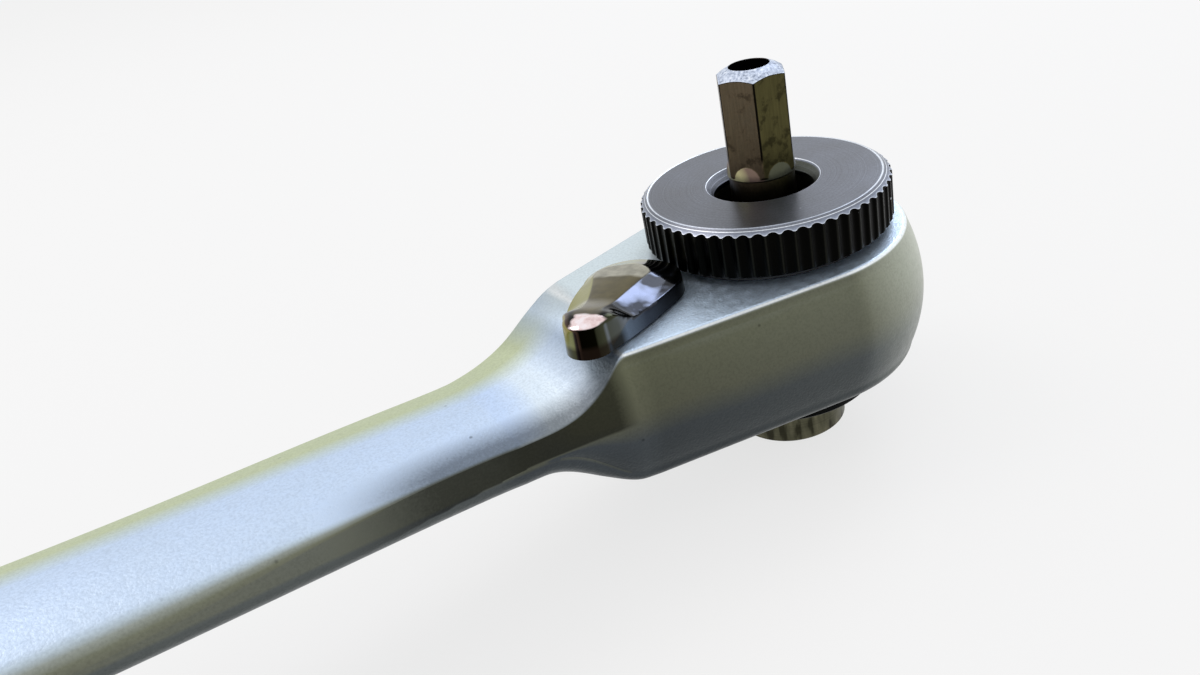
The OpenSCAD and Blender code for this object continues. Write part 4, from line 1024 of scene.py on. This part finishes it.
def tool_steel():
    """Hardened tool steel, dark with oil and showing wear. It gives the eye brown and olive
    flats, the two tones painted reflections, with dark stains, thin black arrises, and a pale
    frosted cap where the blasted end was turned."""
    made, tree, shader, place = new_material("hardened_tool_steel")
    flat = place.outputs["Object"]
    spot = add(tree, "ShaderNodeSeparateXYZ", {0: flat})
    up = add(tree, "ShaderNodeSeparateXYZ", {0: place.outputs["Normal"]})
    zone = add(tree, "ShaderNodeAttribute", attribute_name="zone")
    stain = add(tree, "ShaderNodeTexNoise", {0: flat, "Scale": 900.0, "Detail": 4.0,
                                             "Roughness": 0.6})
    stretch = add(tree, "ShaderNodeMapping", {0: flat, "Scale": (6000.0, 6000.0, 500.0)})
    draw = add(tree, "ShaderNodeTexNoise", {0: stretch.outputs[0], "Scale": 1.0})
    grit = add(tree, "ShaderNodeTexNoise", {0: flat, "Scale": 4200.0, "Detail": 2.0})
    # painted reflections: flats facing minus X are brown, the others olive
    face = add(tree, "ShaderNodeMapRange", {0: up.outputs[0], 1: -0.9, 2: -0.1})
    colour = add(tree, "ShaderNodeMix", {"Factor": face.outputs[0], 6: linear("#5E5140"),
                                         7: linear("#4A462B")}, data_type="RGBA")
    blot = add(tree, "ShaderNodeMapRange", {0: stain.outputs[0], 1: 0.36, 2: 0.46, 3: 0.5,
                                            4: 1.0})
    line = add(tree, "ShaderNodeMapRange", {0: draw.outputs[0], 1: 0.3, 2: 0.7, 3: 0.85,
                                            4: 1.12})
    shade = add(tree, "ShaderNodeMath", {0: blot.outputs[0], 1: line.outputs[0]},
                operation="MULTIPLY")
    wear_and_sheen = add(tree, "ShaderNodeMix", {"Factor": 1.0, 6: colour.outputs[2],
                                       7: shade.outputs[0]}, data_type="RGBA",
               blend_type="MULTIPLY", clamp_result=True)
    # the neck below the flats is painted near black, less so towards the ball shoulder
    below = add(tree, "ShaderNodeMapRange", {0: spot.outputs[2], 1: 0.0225, 2: 0.02345,
                                             3: 0.85, 4: 0.3})
    darkened = add(tree, "ShaderNodeMapRange", {0: spot.outputs[2], 1: 0.0236, 2: 0.02345})
    neck_darkening = add(tree, "ShaderNodeMath", {0: below.outputs[0], 1: darkened.outputs[0]},
                 operation="MULTIPLY")
    neck = add(tree, "ShaderNodeMix", {"Factor": neck_darkening.outputs[0], 6: wear_and_sheen.outputs[2],
                                       7: linear("#1C1911")}, data_type="RGBA")
    # the ball shoulder is bared by rubbing, with painted reflections by facing: brassy at the
    # left, then rosy, and dull at the right
    disc = add(tree, "ShaderNodeMapRange", {0: zone.outputs["Fac"], 1: 0.08, 2: 0.18})
    split = add(tree, "ShaderNodeMapRange", {0: up.outputs[0], 1: -0.96, 2: -0.85})
    rose = add(tree, "ShaderNodeMix", {"Factor": split.outputs[0], 6: linear("#A9A37C"),
                                       7: linear("#705F55")}, data_type="RGBA")
    right = add(tree, "ShaderNodeMapRange", {0: up.outputs[0], 1: -0.62, 2: -0.5})
    dull = add(tree, "ShaderNodeMix", {"Factor": right.outputs[0], 6: rose.outputs[2],
                                       7: linear("#4D4F41")}, data_type="RGBA")
    patchy_painted_light = add(tree, "ShaderNodeMix", {"Factor": disc.outputs[0], 6: neck.outputs[2],
                                         7: dull.outputs[2]}, data_type="RGBA")
    frost = add(tree, "ShaderNodeValToRGB", {0: grit.outputs[0]}, stops=[
        (0.3, "#868FA0"), (0.42, "#B4BED0"), (0.6, "#D2DBEA"), (0.75, "#ECF1F7")])
    shadow = add(tree, "ShaderNodeMapRange", {0: up.outputs[0], 1: -0.1, 2: 0.45, 3: 1.0,
                                              4: 0.62})
    frosted = add(tree, "ShaderNodeMix", {"Factor": 1.0, 6: frost.outputs[0],
                                          7: shadow.outputs[0]}, data_type="RGBA",
                  blend_type="MULTIPLY")
    cap = add(tree, "ShaderNodeMapRange", {0: zone.outputs["Fac"], 1: 0.4, 2: 0.8})
    capped = add(tree, "ShaderNodeMix", {"Factor": cap.outputs[0], 6: patchy_painted_light.outputs[2],
                                         7: frosted.outputs[2]}, data_type="RGBA")
    black = add(tree, "ShaderNodeMapRange", {0: zone.outputs["Fac"], 1: -0.15, 2: -0.6})
    lined = add(tree, "ShaderNodeMix", {"Factor": black.outputs[0], 6: capped.outputs[2],
                                        7: linear("#0D0C08")}, data_type="RGBA")
    rough = add(tree, "ShaderNodeMapRange", {0: stain.outputs[0], 1: 0.35, 2: 0.6, 3: 0.42,
                                             4: 0.28})
    blasted = add(tree, "ShaderNodeMath", {0: cap.outputs[0], 1: 0.25, 2: rough.outputs[0]},
                  operation="MULTIPLY_ADD")
    skin = add(tree, "ShaderNodeBump", {"Height": draw.outputs[0], "Strength": 0.3,
                                        "Distance": 0.00001})
    low = add(tree, "ShaderNodeBump", {"Height": grit.outputs[0], "Strength": 0.4,
                                       "Distance": 0.00002, "Normal": skin.outputs[0]})
    tree.links.new(lined.outputs[2], shader.inputs["Base Color"])
    tree.links.new(blasted.outputs[0], shader.inputs["Roughness"])
    tree.links.new(low.outputs[0], shader.inputs["Normal"])
    shader.inputs["Metallic"].default_value = 1.0
    return made


def turned_steel():
    """Turned and hardened gear steel with a brown temper film. It gives the eye fine rings
    round the axis and soft dark streaks along it."""
    made, tree, shader, place = new_material("turned_gear_steel")
    flat = place.outputs["Object"]
    rings = add(tree, "ShaderNodeMapping", {0: flat, "Scale": (250.0, 250.0, 9000.0)})
    lay = add(tree, "ShaderNodeTexNoise", {0: rings.outputs[0], "Scale": 1.0, "Detail": 2.0})
    long = add(tree, "ShaderNodeMapping", {0: flat, "Scale": (1100.0, 1100.0, 300.0)})
    streak = add(tree, "ShaderNodeTexNoise", {0: long.outputs[0], "Scale": 1.0,
                                              "Detail": 3.0})
    colour = add(tree, "ShaderNodeValToRGB", {0: streak.outputs[0]}, stops=[
        (0.34, "#302F24"), (0.42, "#4B4A3B"), (0.58, "#5D5B4A"), (0.72, "#716E5B")])
    line = add(tree, "ShaderNodeMapRange", {0: lay.outputs[0], 1: 0.3, 2: 0.7, 3: 0.86,
                                            4: 1.12})
    both = add(tree, "ShaderNodeMix", {"Factor": 1.0, 6: colour.outputs[0],
                                       7: line.outputs[0]}, data_type="RGBA",
               blend_type="MULTIPLY", clamp_result=True)
    rough = add(tree, "ShaderNodeMapRange", {0: streak.outputs[0], 1: 0.3, 2: 0.7, 3: 0.42,
                                             4: 0.28})
    skin = add(tree, "ShaderNodeBump", {"Height": lay.outputs[0], "Strength": 0.4,
                                        "Distance": 0.00001})
    tree.links.new(both.outputs[2], shader.inputs["Base Color"])
    tree.links.new(rough.outputs[0], shader.inputs["Roughness"])
    tree.links.new(skin.outputs[0], shader.inputs["Normal"])
    shader.inputs["Metallic"].default_value = 1.0
    return made


def grained(name, dark, light, metal, rough, grain, depth, lay=(1.0, 1.0, 1.0)):
    """A finish made of one uneven grain: two hex tones, a pair of roughness values, the
    grain's width in millimetres, its depth in micrometres, and how it is drawn out."""
    made, tree, shader, place = new_material(name)
    drawn = add(tree, "ShaderNodeMapping", {0: place.outputs["Object"], "Scale": lay})
    fine = add(tree, "ShaderNodeTexNoise", {0: drawn.outputs[0], "Scale": 1000.0 / grain,
                                            "Detail": 3.0})
    broad = add(tree, "ShaderNodeTexNoise", {0: place.outputs["Object"], "Scale": 350.0,
                                             "Detail": 3.0})
    half = add(tree, "ShaderNodeMath", {0: fine.outputs[0], 1: 0.5}, operation="MULTIPLY")
    mixed = add(tree, "ShaderNodeMath", {0: broad.outputs[0], 1: 0.5, 2: half.outputs[0]},
                operation="MULTIPLY_ADD")
    colour = add(tree, "ShaderNodeValToRGB", {0: mixed.outputs[0]},
                 stops=[(0.38, dark), (0.62, light)])
    gloss = add(tree, "ShaderNodeMapRange", {0: mixed.outputs[0], 1: 0.38, 2: 0.62,
                                             3: rough[0], 4: rough[1]})
    skin = add(tree, "ShaderNodeBump", {"Height": fine.outputs[0], "Strength": 0.5,
                                        "Distance": depth * 0.000001})
    tree.links.new(colour.outputs[0], shader.inputs["Base Color"])
    tree.links.new(gloss.outputs[0], shader.inputs["Roughness"])
    tree.links.new(skin.outputs[0], shader.inputs["Normal"])
    shader.inputs["Metallic"].default_value = metal
    return made


dress(satin_chrome(), "forged_body")
dress(black_oxide_wheel(), "knurled_wheel")
dress(dark_chrome(), "lever_shell")
dress(tool_steel(), "driver_bit")
dress(turned_steel(), "drive_gear")
# black oxide dipped and oiled: a soft black with a dull shine
dress(grained("dipped_black_oxide", "#060707", "#0F1110", 1.0, (0.38, 0.5), 0.18, 12),
      "cover")
# moulded nitrile: matt black with a faint bloom
dress(grained("moulded_nitrile_rubber", "#0E0E0E", "#1B1B1C", 0.0, (0.55, 0.75), 0.25, 20),
      "cover_seal", "hub_seal", "lever_seal")
# moulded nylon: black, half matt, with a fine moulded texture
dress(grained("moulded_black_nylon", "#0B0B0C", "#171718", 0.0, (0.4, 0.55), 0.3, 15),
      "wheel_washer")
# ground steel: bright, with grinding lines drawn out across the axis
dress(grained("ground_bearing_steel", "#A4A5A6", "#C9CACC", 1.0, (0.2, 0.32), 0.08, 6,
              (0.2, 1.0, 1.0)),
      "gear_washer_lower", "gear_washer_upper", "pawl_pin", "lever_spindle", "plunger",
      "detent_ball")
# drawn spring wire: grey, half bright, with a smoky film from its heat treatment
dress(grained("drawn_spring_steel", "#6E6F72", "#9A9A9C", 1.0, (0.28, 0.42), 0.1, 8,
              (1.0, 1.0, 0.25)),
      "wheel_ring", "stop_ring", "bit_clip_upper", "bit_clip_lower", "lever_snap_ring",
      "plunger_spring", "detent_spring")
# sintered steel: dull grey with the open grain of pressed powder
dress(grained("sintered_hardened_steel", "#54524C", "#7A7872", 1.0, (0.42, 0.6), 0.15, 20),
      "pawl")
# what is hidden behind the detailed pieces carries the same finishes
dress(bpy.data.materials["satin_chrome_on_forged_steel"], "body")
dress(bpy.data.materials["black_oxide_on_turned_steel"], "thumb_wheel")
dress(bpy.data.materials["polished_dark_chrome"], "lever")
dress(bpy.data.materials["hardened_tool_steel"], "bit")

# Floor, light and camera.

FLOOR_HALF, FLOOR_Z = 1500, -0.02


def seen_directly(tree):
    """One for what the camera sees, straight, in a mirror or through glass, and zero for light
    that has been scattered."""
    ray = add(tree, "ShaderNodeLightPath")
    mirrored = add(tree, "ShaderNodeMath", {0: ray.outputs["Is Camera Ray"],
                                            1: ray.outputs["Is Glossy Ray"]},
                   operation="MAXIMUM")
    seen = add(tree, "ShaderNodeMath", {0: mirrored.outputs[0],
                                        1: ray.outputs["Is Transmission Ray"]},
               operation="MAXIMUM")
    return seen.outputs[0]


def stage_floor():
    """A large pale floor just under the boss, as one grid, which glows a little so that it goes
    over into the white behind it."""
    s = np.linspace(-FLOOR_HALF, FLOOR_HALF, 9)
    x, y = np.meshgrid(s, s, indexing="ij")
    points = np.stack([x, y, np.full_like(x, FLOOR_Z)], -1).reshape(-1, 3)
    piece = new_piece("floor", points, grid_faces(9, 9, flip=True).tolist())
    made = bpy.data.materials.new("pale_paper")
    made.use_nodes = True
    tree = made.node_tree
    tree.nodes.clear()
    paper = add(tree, "ShaderNodeBsdfDiffuse", {0: linear("#E9E9E9")})
    glow = add(tree, "ShaderNodeEmission", {0: [1, 1, 1, 1], 1: 1.0})
    part = add(tree, "ShaderNodeMath", {0: seen_directly(tree), 1: 0.72}, operation="MULTIPLY")
    both = add(tree, "ShaderNodeMixShader", {0: part.outputs[0], 1: paper.outputs[0],
                                             2: glow.outputs[0]})
    add(tree, "ShaderNodeOutputMaterial", {0: both.outputs[0]})
    piece.data.materials.append(made)


def stage_world():
    """White all round for the camera and for reflections, and a plain soft grey light."""
    world = bpy.data.worlds.new("studio")
    scene.world = world
    world.use_nodes = True
    tree = world.node_tree
    tree.nodes.clear()
    level = add(tree, "ShaderNodeMapRange", {0: seen_directly(tree), 3: 0.7, 4: 1.0})
    sky = add(tree, "ShaderNodeBackground", {0: [1, 1, 1, 1], 1: level.outputs[0]})
    add(tree, "ShaderNodeOutputWorld", {0: sky.outputs[0]})


def softbox(name, place, aim, size, radiance, colour):
    """A rectangular lamp at a place, aimed at a point, both in millimetres, with its power worked
    out from the radiance that its face should have."""
    data = bpy.data.lights.new(name, "AREA")
    data.shape = "RECTANGLE"
    data.size, data.size_y = size[0] * MM, size[1] * MM
    data.energy = radiance * math.pi * data.size * data.size_y
    data.color = linear(colour)[:3]
    lamp = bpy.data.objects.new(name, data)
    scene.collection.objects.link(lamp)
    back = (Vector(place) - Vector(aim)).normalized()
    lamp.matrix_world = Matrix.Translation(Vector(place) * MM) @ back.to_track_quat(
        "Z", "Y").to_matrix().to_4x4()

# the camera's place in millimetres, its angles in degrees, and its lens
CAMERA_PLACE = (-47.667, -59.687, 52.706)
CAMERA_HEADING, CAMERA_TILT, CAMERA_ROLL = -26.92196, 61.23727, -12.56251
LENS, SENSOR = 29.947, 36.0


def photo_camera():
    """The camera at the photograph's place, close to the head. It is rolled about its own axis,
    tilted up from looking straight down, and then turned about Z."""
    data = bpy.data.cameras.new("camera")
    data.sensor_width = SENSOR
    data.lens = LENS
    data.clip_start = 1 * MM
    camera = bpy.data.objects.new("camera", data)
    scene.collection.objects.link(camera)
    heading = Matrix.Rotation(math.radians(CAMERA_HEADING), 4, "Z")
    tilt = Matrix.Rotation(math.radians(CAMERA_TILT), 4, "X")
    roll = Matrix.Rotation(math.radians(CAMERA_ROLL), 4, "Z")
    place = Matrix.Translation(Vector(CAMERA_PLACE) * MM)
    camera.matrix_world = place @ heading @ tilt @ roll
    scene.camera = camera


stage_floor()
stage_world()
softbox("right_softbox", (340, 150, 300), (-16, -3, 20), (200, 200), 3.6, "#EAF1FF")
softbox("left_softbox", (-220, 190, 420), (-20, -6, 20), (220, 200), 2.4, "#FFF4EF")
photo_camera()
scene.view_settings.view_transform = "Standard"
